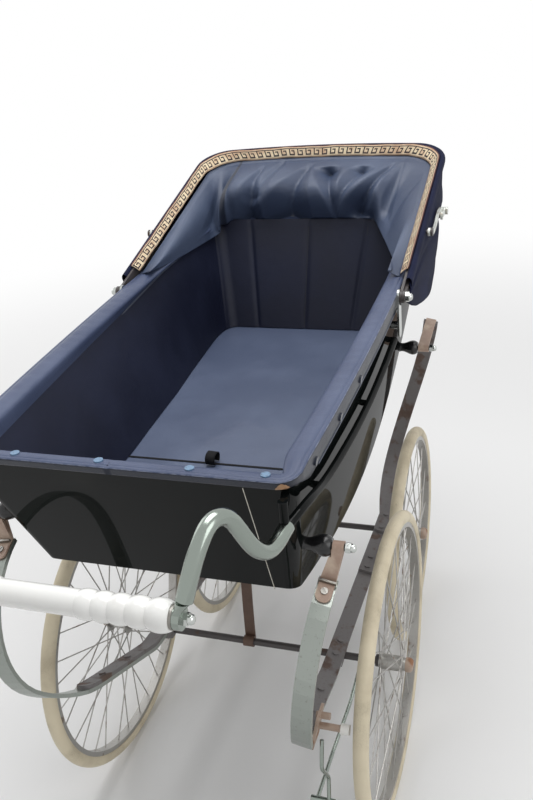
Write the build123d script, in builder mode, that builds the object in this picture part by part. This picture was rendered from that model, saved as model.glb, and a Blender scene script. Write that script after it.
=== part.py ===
"""Coach-built baby carriage: a boat-shaped body slung on leather straps between
C-springs, on wire-spoked wheels, with a folding hood that lies down.

Frame: +X forward (away from the handle), +Y left, +Z up, ground at z = 0. All sizes are
in mm. It is drawn with the rear axle at x = 0, and the finished pieces are then moved
along X so that the origin lies on the ground under the middle of the whole.
"""
import os
from math import atan, atan2, cos, degrees, hypot, radians, sin

from build123d import *

# wheels
REAR_WHEEL_R = 250.0
FRONT_WHEEL_R = 220.0
TYRE_R = 11.5
REAR_TRACK = 500.0
FRONT_TRACK = 420.0
WHEELBASE = 418.0
AXLE_R = 6.0
RUNNING_FIT = 0.05
RIM_DEPTH = 8.0
RIM_HALF_W = 8.0
RIM_WALL = 1.2
SPOKE_R = 1.1
SPOKE_LEAN = 60.0
HUB_R = 12.5
HUB_HALF = 22.0
FLANGE_R = 19.0
FLANGE_T = 2.6
FLANGE_Y = 17.0
CAP_R = 12.0
CAP_L = 12.0

# body hull, seen from above at two heights
HULL_TOP_Z = 850.0
HULL_LOW_Z = 530.0
TOP_PLAN = dict(rear=-361.0, front=596.0, rear_half=231.0, mid_half=241.0, front_half=228.0,
                rear_round=24.0, front_round=44.0)
LOW_PLAN = dict(rear=-226.0, front=450.0, rear_half=176.0, mid_half=188.0, front_half=172.0,
                rear_round=16.0, front_round=30.0)
BELLY = ((-330.0, 596.0), (-246.0, 577.0), (-99.0, 550.0), (60.0, 538.0), (200.0, 543.0),
         (330.0, 565.0), (430.0, 597.0), (540.0, 650.0))
PANEL_T = 9.0
RIM_REAR_X = -335.0
RIM_REAR_Z = 788.0
RIM_SLOPE = 0.0514
RIM_PAD_T = 12.0
RIM_PAD_IN = 26.0
RIM_PAD_OUT = 1.0
FLAP_DROP = 26.0
FLAP_T = 2.0
REAR_BAND_TOP = 793.5
REAR_BAND_IN_X = -319.5
REAR_BAND_LOW = 782.0
REAR_RAMP_X = (-318.0, -275.0)
REAR_STUD_X = -328.0
LINING_T = 6.0
CLEAR = 0.3
SEAT = 0.05
FLOOR_Z = 640.0
FLOOR_T = 12.0
FLOOR_SPLIT_X = -60.0
FLOOR_GAP = 3.0
LEDGE_W = 26.0
LEDGE_H = 14.0
TAB_L = 34.0
TAB_W = 16.0
TAB_T = 3.0
STUD_R = 5.5
STUD_H = 2.4
REAR_STUDS_Y = (-188.0, -99.0, 15.0, 127.0)
SIDE_STUDS_X = (-263.0, -162.0, -61.0)

# rails and handle
RAIL_R = 5.5
RAIL_OFF = 4.0
RAIL_LINE = ((-322.0, 752.0), (-242.0, 734.0), (-130.0, 724.0), (0.0, 724.0), (95.0, 734.0),
             (180.0, 748.0))
RAIL_END = (-352.5, 214.2, 745.2)
JOIN_X = -350.0
TUBE_R = 9.0
TUBE_PATH = ((-347.0, 214.0, 745.0), (-371.0, 213.0, 745.0), (-394.0, 209.0, 746.0),
             (-412.0, 203.0, 759.0), (-426.0, 193.0, 790.0), (-440.0, 184.0, 814.0),
             (-456.0, 178.0, 818.0), (-474.0, 172.0, 806.0), (-492.0, 165.0, 778.0),
             (-500.0, 160.0, 757.0))
SLEEVE_R = 5.5
SLEEVE_AT = (-353.0, 213.5)
SLEEVE_Z = (754.8, 780.0)
LUG_Z = (762.0, 776.0)
LUG_END = (-318.0, 206.0)
LUG_W = 8.0
GRIP_X = -502.0
GRIP_Z = 737.0
GRIP_HALF = 146.0
GRIP_R = 14.0
# grip bumps from the middle outwards: length and rise
GRIP_BUMPS = ((18.0, 2.0), (18.0, 2.0), (19.0, 2.2), (21.0, 2.6), (24.0, 3.2))
COLLAR_T = 3.0
COLLAR_R = 12.6
EYE_R = 12.0
EYE_T = 8.0

# posts and straps: place along the body, height, outer end of the sleeve
POSTS = (dict(x=-250.0, z=654.0, end_y=234.0, strap=14.0), dict(x=470.0, z=614.0, end_y=222.0, strap=20.0))
POST_FLANGE_R = 11.5
POST_NECK_R = 8.0
POST_SWELL_R = 13.0
POST_END_R = 10.0
PIN_R = 4.5
STRAP_W = 20.0
STRAP_T = 3.0
TONGUE_L = 34.0
SLIDE_H = 4.0
SLIDE_T = 3.0
SLIDE_BACK = 9.0
NUT_R = 7.0
NUT_L = 13.0

# side frames: each lies in a plane that leans out
FRAME_Y = 158.0
FRAME_Z = 262.5
FRAME_LEAN = 0.205
LEAF_W = 28.0
LEAF_T = 6.0
BAR_SLOPE = -0.0863
BAR_FRONT_X = 300.0
PLATE_X = (230.0, 452.0)
REAR_LEAF_X = -26.0
REAR_BEND_X = -55.0
BEND_R = 73.0
BEND_TURN = -16.3
SLOPE_L = 152.0
REAR_BASE = ((BEND_R, BEND_TURN), (SLOPE_L, 0.0), (252.7, -9.5))
REAR_BENDS = ((252.7, -22.9), (138.4, -109.8))
REAR_TIP_W = 24.0
REAR_OUTBOARD = 13.0
FRONT_LEAF_X = 374.0
FRONT_CURVE_X = 448.0
FRONT_BENDS = ((185.0, 93.8), (331.0, 43.6))
FRONT_INBOARD = 23.0
BOLT_R = 5.5
BOLT_H = 2.5
SADDLE_L = 30.0
SADDLE_FOOT_T = 4.0

# hood
PIVOT_X = 193.0
PIVOT_Z = 815.0
BOW_REACH = 487.0
BOW_LIFT = 16.0
BOW_Y = 245.5
BOW_T = 4.0
BOW_HALF_H = 8.0
BOW_CORNER_R = 58.0
BOW_CROWN = 16.0
MID_REACH = 455.0
MID_LIFT = 9.0
MID_Y = 250.0
MID_HALF_H = 5.0
EDGING_T = 4.2
COVER_Y = 250.3
COVER_REACH = 497.0
COVER_LOW_REACH = 440.0
COVER_T = 6.0
COVER_DROP = 45.0
COVER_START = 26.0
LINING_START = 60.0
HOOD_LINING_T = 5.0

# hood irons: stud places along the two bows, link lengths
STUD_A_R = 190.0
STUD_B_R = 310.0
IRON_A_L = 167.0
IRON_Y = 258.5
IRON_T = 4.0
IRON_W = 8.0
IRON_STUD_R = 4.0

os.makedirs("parts", exist_ok=True)


def rim_z(x):
    """Height of the panels' top edge at x."""
    return RIM_REAR_Z + RIM_SLOPE * (x - RIM_REAR_X)


def half_width(x, z):
    """Half width of the outer hull at a place along it and a height."""
    down = (HULL_TOP_Z - z) / (HULL_TOP_Z - HULL_LOW_Z)
    rear = TOP_PLAN["rear"] + (LOW_PLAN["rear"] - TOP_PLAN["rear"]) * down
    front = TOP_PLAN["front"] + (LOW_PLAN["front"] - TOP_PLAN["front"]) * down
    along = (x - rear) / (front - rear)
    widths = []
    for plan in (TOP_PLAN, LOW_PLAN):
        ends = plan["rear_half"] * (1 - along) + plan["front_half"] * along
        bulge = plan["mid_half"] - (plan["rear_half"] + plan["front_half"]) / 2
        widths.append(ends + 4 * bulge * along * (1 - along))
    return widths[0] + (widths[1] - widths[0]) * down


def hull(inset):
    """The tapered hull, inset on every side, before its top and belly are cut."""
    with BuildPart() as solid:
        for level, plan in ((HULL_TOP_Z, TOP_PLAN), (HULL_LOW_Z, LOW_PLAN)):
            rear = plan["rear"] + inset
            front = plan["front"] - inset
            mid = (rear + front) / 2
            rear_half = plan["rear_half"] - inset
            mid_half = plan["mid_half"] - inset
            front_half = plan["front_half"] - inset
            with BuildSketch(Plane.XY.offset(level)) as outline:
                with BuildLine():
                    ThreePointArc((rear, rear_half), (mid, mid_half), (front, front_half))
                    Line((front, front_half), (front, -front_half))
                    ThreePointArc((front, -front_half), (mid, -mid_half), (rear, -rear_half))
                    Line((rear, -rear_half), (rear, rear_half))
                make_face()
                corners = outline.vertices().sort_by(Axis.X)
                fillet(corners[:2], max(plan["rear_round"] - inset, 2.0))
                fillet(corners[2:], max(plan["front_round"] - inset, 2.0))
        loft(ruled=True)
    return solid.part


def band(low, high):
    """A slab right across the hull between two heights above the rim line."""
    back = TOP_PLAN["rear"] - 60.0
    ahead = TOP_PLAN["front"] + 60.0
    with BuildPart() as slab:
        with BuildSketch(Plane.XZ):
            with BuildLine():
                Polyline((back, rim_z(back) + low), (ahead, rim_z(ahead) + low),
                         (ahead, rim_z(ahead) + high), (back, rim_z(back) + high), close=True)
            make_face()
        extrude(amount=400.0, both=True)
    return slab.part


def above_belly(raise_by):
    """Everything between the belly line, raised by a wall, and the rim line."""
    back = BELLY[0][0] - 120.0
    ahead = BELLY[-1][0] + 120.0
    with BuildPart() as keep:
        with BuildSketch(Plane.XZ):
            with BuildLine():
                belly = Spline(*[(x, z + raise_by) for x, z in BELLY])
                Polyline(belly @ 1, (ahead, 700.0), (ahead, rim_z(ahead)), (back, rim_z(back)),
                         (back, 640.0), belly @ 0)
            make_face()
        extrude(amount=400.0, both=True)
    return keep.part


def hull_ring(outer, inner, low, high):
    """The wall between two insets of the hull, inside a band about the rim line."""
    solids = hull(outer), hull(inner), band(low, high)
    with BuildPart() as wall:
        add(solids[0])
        add(solids[1], mode=Mode.SUBTRACT)
        add(solids[2], mode=Mode.INTERSECT)
    return wall.part


def level_slab(x_from, x_to, z_from, z_to):
    """A level slab right across the hull."""
    with BuildPart() as slab:
        with BuildSketch(Plane.XZ):
            with BuildLine():
                Polyline((x_from, z_from), (x_to, z_from), (x_to, z_to), (x_from, z_to), close=True)
            make_face()
        extrude(amount=400.0, both=True)
    return slab.part


def meet(first, second):
    """What two solids have in common."""
    with BuildPart() as common:
        add(first)
        add(second, mode=Mode.INTERSECT)
    return common.part


pieces = {}


def keep(solid, name):
    """Label a finished piece and put it with the others."""
    solid.label = name
    pieces[name] = solid


# body shell
hollow = meet(hull(PANEL_T), above_belly(PANEL_T))
hull_outer = hull(0.0)
hull_skin = hull(-SEAT)
below_rim = above_belly(0.0)
with BuildPart() as body_shell:
    add(hull_outer)
    add(below_rim, mode=Mode.INTERSECT)
    add(hollow, mode=Mode.SUBTRACT)
keep(body_shell.part, "body_shell")

# padded rim with its narrow outer flap
rim_pad = hull_ring(-RIM_PAD_OUT, RIM_PAD_IN, 0.0, RIM_PAD_T)
rim_flap = hull_ring(-CLEAR - FLAP_T, -CLEAR, -FLAP_DROP, 0.0)
with BuildPart() as rim_cover:
    add(rim_pad)
    top_face = rim_cover.faces().sort_by(Axis.Z)[-1]
    fillet(top_face.edges(), RIM_PAD_T * 0.4)
    add(rim_flap)
    with BuildSketch(Plane.XZ):
        with BuildLine():
            back, ahead = REAR_RAMP_X
            Polyline((back - 120.0, REAR_BAND_TOP), (back, REAR_BAND_TOP), (ahead, rim_z(ahead) + RIM_PAD_T),
                     (ahead, HULL_TOP_Z), (back - 120.0, HULL_TOP_Z), close=True)
        make_face()
    extrude(amount=400.0, both=True, mode=Mode.SUBTRACT)
    with BuildSketch(Plane.XY.offset(RIM_REAR_Z - 1.0)):
        inner_half = half_width(RIM_REAR_X, RIM_REAR_Z) - RIM_PAD_IN - 2.0
        with Locations((REAR_BAND_IN_X + 20.0, 0.0)):
            Rectangle(40.0, 2 * inner_half)
    extrude(amount=HULL_TOP_Z - RIM_REAR_Z, mode=Mode.SUBTRACT)
    with BuildSketch(Plane.XZ):
        with BuildLine():
            Polyline((RIM_REAR_X - 80.0, REAR_BAND_LOW), (RIM_REAR_X + 20.0, REAR_BAND_LOW),
                     (RIM_REAR_X + 40.0, REAR_BAND_LOW - FLAP_DROP), (RIM_REAR_X - 80.0, REAR_BAND_LOW - FLAP_DROP),
                     close=True)
        make_face()
    extrude(amount=400.0, both=True, mode=Mode.SUBTRACT)
keep(rim_cover.part, "rim_cover")

# lining, floor boards and the ledge that carries them
lining_ring = hull_ring(PANEL_T + CLEAR, PANEL_T + CLEAR + LINING_T, -400.0, 0.0)
lining = meet(meet(lining_ring, above_belly(PANEL_T + CLEAR)), level_slab(-500.0, 700.0, FLOOR_Z, 900.0))
keep(lining, "lining")
floor_hull = meet(hull(PANEL_T + CLEAR), above_belly(PANEL_T + CLEAR))
board_low = FLOOR_Z - FLOOR_T
floor_top = FLOOR_Z - CLEAR
floor_board = meet(floor_hull, level_slab(FLOOR_SPLIT_X, 700.0, board_low, floor_top))
keep(floor_board, "floor_board")
flap_front = FLOOR_SPLIT_X - FLOOR_GAP
floor_flap = meet(floor_hull, level_slab(-500.0, flap_front, board_low, floor_top))
keep(floor_flap, "floor_flap")
ledge_wall = meet(hull_ring(PANEL_T + SEAT, PANEL_T + LEDGE_W, -400.0, 0.0),
                  above_belly(PANEL_T + SEAT))
ledge_ring = meet(ledge_wall, level_slab(-500.0, 700.0, board_low - LEDGE_H, board_low))
with BuildPart() as floor_ledge:
    add(ledge_ring)
    with BuildSketch(Plane.XY.offset(board_low - LEDGE_H)) as cross_rail:
        with Locations((FLOOR_SPLIT_X, 0.0)):
            Rectangle(30.0, 2 * (half_width(FLOOR_SPLIT_X, board_low) - PANEL_T - LEDGE_W / 2))
    extrude(amount=LEDGE_H)
keep(floor_ledge.part, "floor_ledge")

with BuildPart() as pull_tab:
    with BuildSketch(Plane.XY.offset(floor_top)) as tab_outline:
        with Locations((FLOOR_SPLIT_X, 0.0)):
            SlotOverall(TAB_L, TAB_W)
    extrude(amount=TAB_T)
    fillet(pull_tab.edges().group_by(Axis.Z)[-1], TAB_T / 3)
keep(pull_tab.part, "pull_tab")

# press studs on the rim and its flap
side_lean = (TOP_PLAN["mid_half"] - LOW_PLAN["mid_half"]) / (HULL_TOP_Z - HULL_LOW_Z)
with BuildPart() as press_studs:
    for y in REAR_STUDS_Y:
        with BuildSketch(Plane.XY.offset(REAR_BAND_TOP + SEAT)):
            with Locations((REAR_STUD_X, y)):
                Circle(STUD_R)
        extrude(amount=STUD_H)
    for x in SIDE_STUDS_X:
        z = rim_z(x) - FLAP_DROP / 2
        for side in (1, -1):
            face_y = half_width(x, z) + CLEAR + FLAP_T + 2 * CLEAR
            with BuildSketch(Plane(origin=(x, side * face_y, z), z_dir=(0, side, -side_lean))):
                Circle(STUD_R)
            extrude(amount=STUD_H)
keep(press_studs.part, "press_studs")

# side rails, each standing off the panel on three feet
rail_points = [RAIL_END] + [(x, half_width(x, z) + RAIL_R + RAIL_OFF, z) for x, z in RAIL_LINE]
with BuildPart() as side_rails:
    with BuildLine() as rail_line:
        Spline(*rail_points)
    with BuildSketch(Plane(origin=rail_line.line @ 0, z_dir=rail_line.line % 0)):
        Circle(RAIL_R)
    sweep()
    with BuildSketch(Plane.XZ):
        with Locations((JOIN_X + SEAT - 20.0, RAIL_END[2])):
            Rectangle(40.0, 40.0)
    extrude(amount=400.0, both=True, mode=Mode.SUBTRACT)
    for x, z in (RAIL_LINE[1], RAIL_LINE[3], RAIL_LINE[-1]):
        with BuildSketch(Plane(origin=(x, half_width(x, z) - 3.0, z), z_dir=(0, 1, 0))):
            Circle(RAIL_R * 0.8)
        extrude(amount=RAIL_OFF + RAIL_R + 3.0)
    with BuildSketch(Plane.XY.offset(SLEEVE_Z[0])):
        with Locations(SLEEVE_AT):
            Circle(SLEEVE_R)
    extrude(amount=SLEEVE_Z[1] - SLEEVE_Z[0])
    with BuildSketch(Plane.XY.offset(LUG_Z[0])):
        with BuildLine():
            lug_line = Line(SLEEVE_AT, LUG_END)
        lug_way = lug_line % 0
        with Locations(lug_line @ 0.5):
            Rectangle(lug_line.length, LUG_W, rotation=degrees(atan2(lug_way.Y, lug_way.X)))
    extrude(amount=LUG_Z[1] - LUG_Z[0])
    mirror(about=Plane.XZ)
    add(hull_skin, mode=Mode.SUBTRACT)
keep(side_rails.part, "side_rails")

# handle
eye_y = GRIP_HALF + COLLAR_T
with BuildPart() as handle_tubes:
    with BuildLine() as tube_line:
        Spline(*TUBE_PATH)
    with BuildSketch(Plane(origin=tube_line.line @ 0, z_dir=tube_line.line % 0)):
        Circle(TUBE_R)
    sweep()
    with BuildSketch(Plane.XZ):
        with Locations((JOIN_X + 20.0, TUBE_PATH[0][2])):
            Rectangle(40.0, 40.0)
    extrude(amount=400.0, both=True, mode=Mode.SUBTRACT)
    with BuildSketch(Plane(origin=tube_line.line @ 1, x_dir=(1, 0, 0), z_dir=(0, 0, -1))):
        Circle(TUBE_R)
    eye_top = Plane(origin=(GRIP_X, eye_y + EYE_T / 2, GRIP_Z + 8.0), x_dir=(1, 0, 0), z_dir=(0, 0, -1))
    with BuildSketch(eye_top):
        Rectangle(2 * EYE_R - 7.0, EYE_T)
    loft(ruled=True)
    with BuildSketch(Plane(origin=(GRIP_X, eye_y, GRIP_Z), z_dir=(0, 1, 0))):
        Circle(EYE_R)
    extrude(amount=EYE_T)
    mirror(about=Plane.XZ)
keep(handle_tubes.part, "handle_tubes")

with BuildPart() as handle_grip:
    with BuildSketch(Plane(origin=(GRIP_X, 0, GRIP_Z), x_dir=(1, 0, 0), z_dir=(0, 0, 1))):
        with BuildLine():
            y = GRIP_HALF - sum(length for length, rise in GRIP_BUMPS)
            Polyline((GRIP_R, y), (GRIP_R, 0.0), (0.0, 0.0), (0.0, GRIP_HALF), (GRIP_R, GRIP_HALF))
            for length, rise in GRIP_BUMPS:
                ThreePointArc((GRIP_R, y), (GRIP_R + rise, y + length / 2), (GRIP_R, y + length))
                y += length
        make_face()
    revolve(axis=Axis((GRIP_X, 0, GRIP_Z), (0, 1, 0)))
    mirror(about=Plane.XZ)
keep(handle_grip.part, "handle_grip")

with BuildPart() as handle_collars:
    with BuildSketch(Plane(origin=(GRIP_X, GRIP_HALF, GRIP_Z), z_dir=(0, 1, 0))):
        Circle(COLLAR_R)
    extrude(amount=COLLAR_T)
    mirror(about=Plane.XZ)
keep(handle_collars.part, "handle_collars")


def acorn_nut(x, y, z, radius, length):
    """A domed hexagon nut on a pin along Y, on both sides."""
    with BuildPart() as nut:
        with BuildSketch(Plane(origin=(x, y, z), z_dir=(0, 1, 0))):
            RegularPolygon(radius, 6)
        extrude(amount=length * 0.5)
        with BuildSketch(Plane(origin=(x, y + length * 0.5, z), z_dir=(0, 1, 0))):
            Circle(radius * 0.78)
        extrude(amount=length * 0.5)
        fillet(nut.edges().filter_by(GeomType.CIRCLE).sort_by(Axis.Y)[-1], radius * 0.6)
        mirror(about=Plane.XZ)
    return nut.part


handle_nuts = acorn_nut(GRIP_X, eye_y + EYE_T, GRIP_Z, 7.0, 12.0)
keep(handle_nuts, "handle_nuts")

# posts on the body that carry the straps
with BuildPart() as body_posts:
    for post in POSTS:
        start = half_width(post["x"], post["z"]) - 4.0
        end = post["end_y"]
        mid = (start + end) / 2
        with BuildSketch(Plane(origin=(post["x"], 0, post["z"]), x_dir=(1, 0, 0), z_dir=(0, 0, 1))):
            with BuildLine():
                curve = Spline((POST_FLANGE_R, start), (POST_NECK_R, start + 10.0),
                               (POST_SWELL_R, mid + 5.0), (POST_END_R, end))
                pin_end = end + post["strap"] + 3.0
                Polyline(curve @ 1, (PIN_R, end), (PIN_R, pin_end), (0, pin_end), (0, start), curve @ 0)
            make_face()
        revolve(axis=Axis((post["x"], 0, post["z"]), (0, 1, 0)))
    mirror(about=Plane.XZ)
    add(hull_skin, mode=Mode.SUBTRACT)
keep(body_posts.part, "body_posts")
post_nut_solids = [acorn_nut(post["x"], post["end_y"] + post["strap"] + 3.0, post["z"], NUT_R, NUT_L)
                   for post in POSTS]
with BuildPart() as post_nuts:
    add(post_nut_solids)
keep(post_nuts.part, "post_nuts")

# side frames
lean = atan(FRAME_LEAN)
frame_plane = Plane(origin=(0, FRAME_Y, FRAME_Z), x_dir=(1, 0, 0), z_dir=(0, -cos(lean), sin(lean)))


def line_v(x, layer):
    """Height in the frame's plane of a leaf's lower face on the straight bar line."""
    return BAR_SLOPE * x + (layer - 0.5) * LEAF_T * hypot(1, BAR_SLOPE)


def on_bar(x, layer):
    """Place in the frame's plane of a leaf's lower face, set off square to the bar line."""
    off = (layer - 0.5) * LEAF_T / hypot(1, BAR_SLOPE)
    return x - BAR_SLOPE * off, BAR_SLOPE * x + off


def in_frame(x, v, w=0.0):
    """World point for a place in the leaning plane."""
    return frame_plane.from_local_coords((x, v, w))


def leaf_line(layer, straight, runs):
    """The lower or outer face of a leaf: on the bar line, then arcs (radius, turn) or straights (length, 0)."""
    with BuildLine() as path:
        last = Line(*(on_bar(x, layer) for x in straight))
        for size, turn in runs:
            if turn:
                last = JernArc(last @ 1, last % 1, size, turn)
            else:
                last = Line(last @ 1, last @ 1 + (last % 1) * size)
    return path.line


def leaf(path, round_end=None):
    """A flat leaf of spring steel on a line in the leaning plane; one end can be half round."""
    side = Side.LEFT if (path % 0).X > 0 else Side.RIGHT
    with BuildPart() as strip:
        with BuildSketch(frame_plane):
            with BuildLine():
                add(path)
                offset(amount=LEAF_T, side=side, closed=True)
            make_face()
        extrude(amount=LEAF_W / 2, both=True)
        if round_end is not None:
            end = path @ round_end
            upright = strip.edges().filter_by(lambda e: abs(e.length - LEAF_T) < SEAT)
            fillet(upright.sort_by_distance(in_frame(end.X, end.Y))[:2], LEAF_W * 0.48)
    return strip.part


def swung_leaf(base, whole, swing, tip_w, round_end=None, steps=20):
    """A leaf whose line goes on past its flat base, swings sideways and comes back."""
    base_l = sum(edge.length for edge in base.edges())
    whole_l = sum(edge.length for edge in whole.edges())
    turn_side = 1 if (whole % 0).X > 0 else -1
    with BuildPart() as end_part:
        for k in range(steps + 1):
            share = k / steps
            along = (base_l + (whole_l - base_l) * share) / whole_l
            place, way = whole @ along, whole % along
            centre = (place.X - turn_side * way.Y * LEAF_T / 2, place.Y + turn_side * way.X * LEAF_T / 2)
            w = swing * sin(radians(180.0) * share ** 0.6) ** 2
            way_world = in_frame(way.X, way.Y) - in_frame(0.0, 0.0)
            with BuildSketch(Plane(origin=in_frame(*centre, w), x_dir=frame_plane.z_dir, z_dir=way_world)):
                Rectangle(LEAF_W + (tip_w - LEAF_W) * share, LEAF_T)
        loft(ruled=True)
    with BuildPart() as strip:
        add(leaf(base, round_end))
        add(end_part.part)
    return strip.part


def both_sides(solid, name):
    """Write the left piece and its mirror image."""
    keep(solid, name + "_left")
    with BuildPart() as other:
        add(solid)
        mirror(about=Plane.XZ, mode=Mode.REPLACE)
    keep(other.part, name + "_right")


rear_base = leaf_line(-1, (REAR_LEAF_X, REAR_BEND_X), REAR_BASE)
rear_line = leaf_line(-1, (REAR_LEAF_X, REAR_BEND_X), REAR_BASE + REAR_BENDS)
front_base = leaf_line(2, (FRONT_LEAF_X, FRONT_CURVE_X), ())
front_line = leaf_line(2, (FRONT_LEAF_X, FRONT_CURVE_X), FRONT_BENDS)
tail_runs = [(size - LEAF_T if turn else size, turn) for size, turn in REAR_BASE]
both_sides(leaf(leaf_line(0, (BAR_FRONT_X, REAR_BEND_X), tail_runs), 1), "main_bar")
both_sides(leaf(leaf_line(1, PLATE_X, ()), 1), "lap_plate")
both_sides(swung_leaf(rear_base, rear_line, -REAR_OUTBOARD, REAR_TIP_W), "rear_spring")
both_sides(swung_leaf(front_base, front_line, FRONT_INBOARD, LEAF_W, 0), "front_spring")


def slotted_screw(head, out):
    """A flat screw head with its slot, on both sides."""
    with BuildPart() as screw:
        with BuildSketch(Plane(origin=head, z_dir=out)):
            Circle(4.5)
        extrude(amount=1.8)
        with BuildSketch(Plane(origin=head + out.normalized() * 1.8, z_dir=-out)):
            Rectangle(12.0, 1.2, rotation=35.0)
        extrude(amount=0.8, mode=Mode.SUBTRACT)
        mirror(about=Plane.XZ)
    return screw.part


# leather straps on the springs' tips; at the front the strap hangs from the tip over the post
loop_r = PIN_R + RUNNING_FIT + STRAP_T / 2
post = POSTS[1]
tip, way = front_line @ 1, front_line % 1
out = Vector(-way.Y, way.X) * -1
tip_world = in_frame(tip.X + out.X * (CLEAR + STRAP_T / 2), tip.Y + out.Y * (CLEAR + STRAP_T / 2))
way_world = in_frame(tip.X + way.X, tip.Y + way.Y) - in_frame(tip.X, tip.Y)
centre_y = post["end_y"] + 1.5 + post["strap"] / 2
with BuildPart() as front_strap:
    with BuildSketch(Plane(origin=tip_world, x_dir=frame_plane.z_dir, z_dir=-way_world)) as tongue:
        Rectangle(STRAP_W, STRAP_T)
    extrude(amount=TONGUE_L)
    with BuildSketch(Plane(origin=tip_world, x_dir=frame_plane.z_dir, z_dir=way_world)):
        Rectangle(STRAP_W, STRAP_T)
    with BuildSketch(Plane(origin=(post["x"], centre_y, post["z"] + loop_r), x_dir=(0, -1, 0), z_dir=(-1, 0, 0))):
        Rectangle(post["strap"], STRAP_T)
    loft(ruled=True)
    with BuildSketch(Plane(origin=(post["x"], centre_y, post["z"]), z_dir=(0, 1, 0))):
        Circle(loop_r + STRAP_T / 2)
    extrude(amount=post["strap"] / 2, both=True)
    with BuildSketch(Plane(origin=(post["x"], centre_y, post["z"]), z_dir=(0, 1, 0))):
        Circle(loop_r - STRAP_T / 2)
    extrude(amount=post["strap"], both=True, mode=Mode.SUBTRACT)
both_sides(front_strap.part, "front_strap")
front_head = in_frame(tip.X - way.X * TONGUE_L * 0.6 + out.X * (CLEAR + STRAP_T),
                      tip.Y - way.Y * TONGUE_L * 0.6 + out.Y * (CLEAR + STRAP_T))
front_screw = slotted_screw(front_head, in_frame(out.X, out.Y) - in_frame(0, 0))

# at the rear a tongue is screwed along the leaf, and a two-ply loop rises from it round the post
post = POSTS[0]
tip, way = rear_line @ 1, rear_line % 1
out = Vector(-way.Y, way.X)
out_world = in_frame(out.X, out.Y) - in_frame(0, 0)
tongue_r = REAR_BENDS[1][0] + CLEAR
with BuildPart() as rear_strap:
    with BuildSketch(frame_plane):
        with BuildLine():
            tongue_line = JernArc(tip + out * CLEAR, -way, tongue_r, degrees(TONGUE_L / tongue_r))
            offset(amount=STRAP_T, side=Side.RIGHT, closed=True)
        make_face()
    extrude(amount=STRAP_W / 2, both=True)
    tongue_end = tongue_line @ 1
    upright = rear_strap.edges().filter_by(lambda e: abs(e.length - STRAP_T) < SEAT)
    fillet(upright.sort_by_distance(in_frame(tongue_end.X, tongue_end.Y))[:2], STRAP_W * 0.45)
    foot = tip - way * STRAP_T + out * (CLEAR + STRAP_T / 2)
    foot_world = in_frame(foot.X, foot.Y)
    pin = Vector(post["x"], post["end_y"] + 1.5 + post["strap"] / 2, post["z"])
    run = (pin - foot_world).normalized()
    across = Vector(run.X, 0, run.Z).normalized()
    low_plane = Plane(origin=foot_world, x_dir=frame_plane.z_dir, z_dir=run)
    with BuildSketch(low_plane):
        Rectangle(STRAP_W, 2 * STRAP_T)
    with BuildSketch(Plane(origin=pin, x_dir=(0, -1, 0), z_dir=across)):
        Rectangle(post["strap"], 2 * loop_r + STRAP_T)
    loft(ruled=True)
    with BuildSketch(Plane(origin=pin, z_dir=(0, 1, 0))):
        Circle(loop_r + STRAP_T / 2)
    extrude(amount=post["strap"] / 2, both=True)
    with BuildSketch(low_plane.offset(3 * STRAP_T)):
        Rectangle(2 * STRAP_W, 0.6)
    with BuildSketch(Plane(origin=pin, x_dir=(0, -1, 0), z_dir=across)):
        Rectangle(2 * STRAP_W, 2 * loop_r - STRAP_T)
    loft(ruled=True, mode=Mode.SUBTRACT)
    with BuildSketch(Plane(origin=pin, z_dir=(0, 1, 0))):
        Circle(loop_r - STRAP_T / 2)
    extrude(amount=STRAP_W, both=True, mode=Mode.SUBTRACT)
    with BuildSketch(Plane(origin=(post["x"], post["end_y"] + CLEAR, post["z"]), z_dir=(0, -1, 0))):
        Circle(POST_SWELL_R + CLEAR)
    extrude(amount=STRAP_W, mode=Mode.SUBTRACT)
both_sides(rear_strap.part, "rear_strap")
screw_at, screw_way = tongue_line @ 0.6, tongue_line % 0.6
screw_out = Vector(screw_way.Y, -screw_way.X)
rear_head = screw_at + screw_out * (STRAP_T + SEAT)
rear_screw = slotted_screw(in_frame(rear_head.X, rear_head.Y), in_frame(screw_out.X, screw_out.Y) - in_frame(0, 0))
bar_at = tip - way * SLIDE_BACK + out * (CLEAR + STRAP_T + SEAT)
with BuildPart() as slide_bar:
    with BuildSketch(Plane(origin=in_frame(bar_at.X, bar_at.Y), x_dir=frame_plane.z_dir, z_dir=out_world)):
        Rectangle(STRAP_W + 3.0, SLIDE_T)
    extrude(amount=SLIDE_H)
    mirror(about=Plane.XZ)
with BuildPart() as strap_rivets:
    add(front_screw)
    add(rear_screw)
    add(slide_bar.part)
keep(strap_rivets.part, "strap_rivets")

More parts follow.
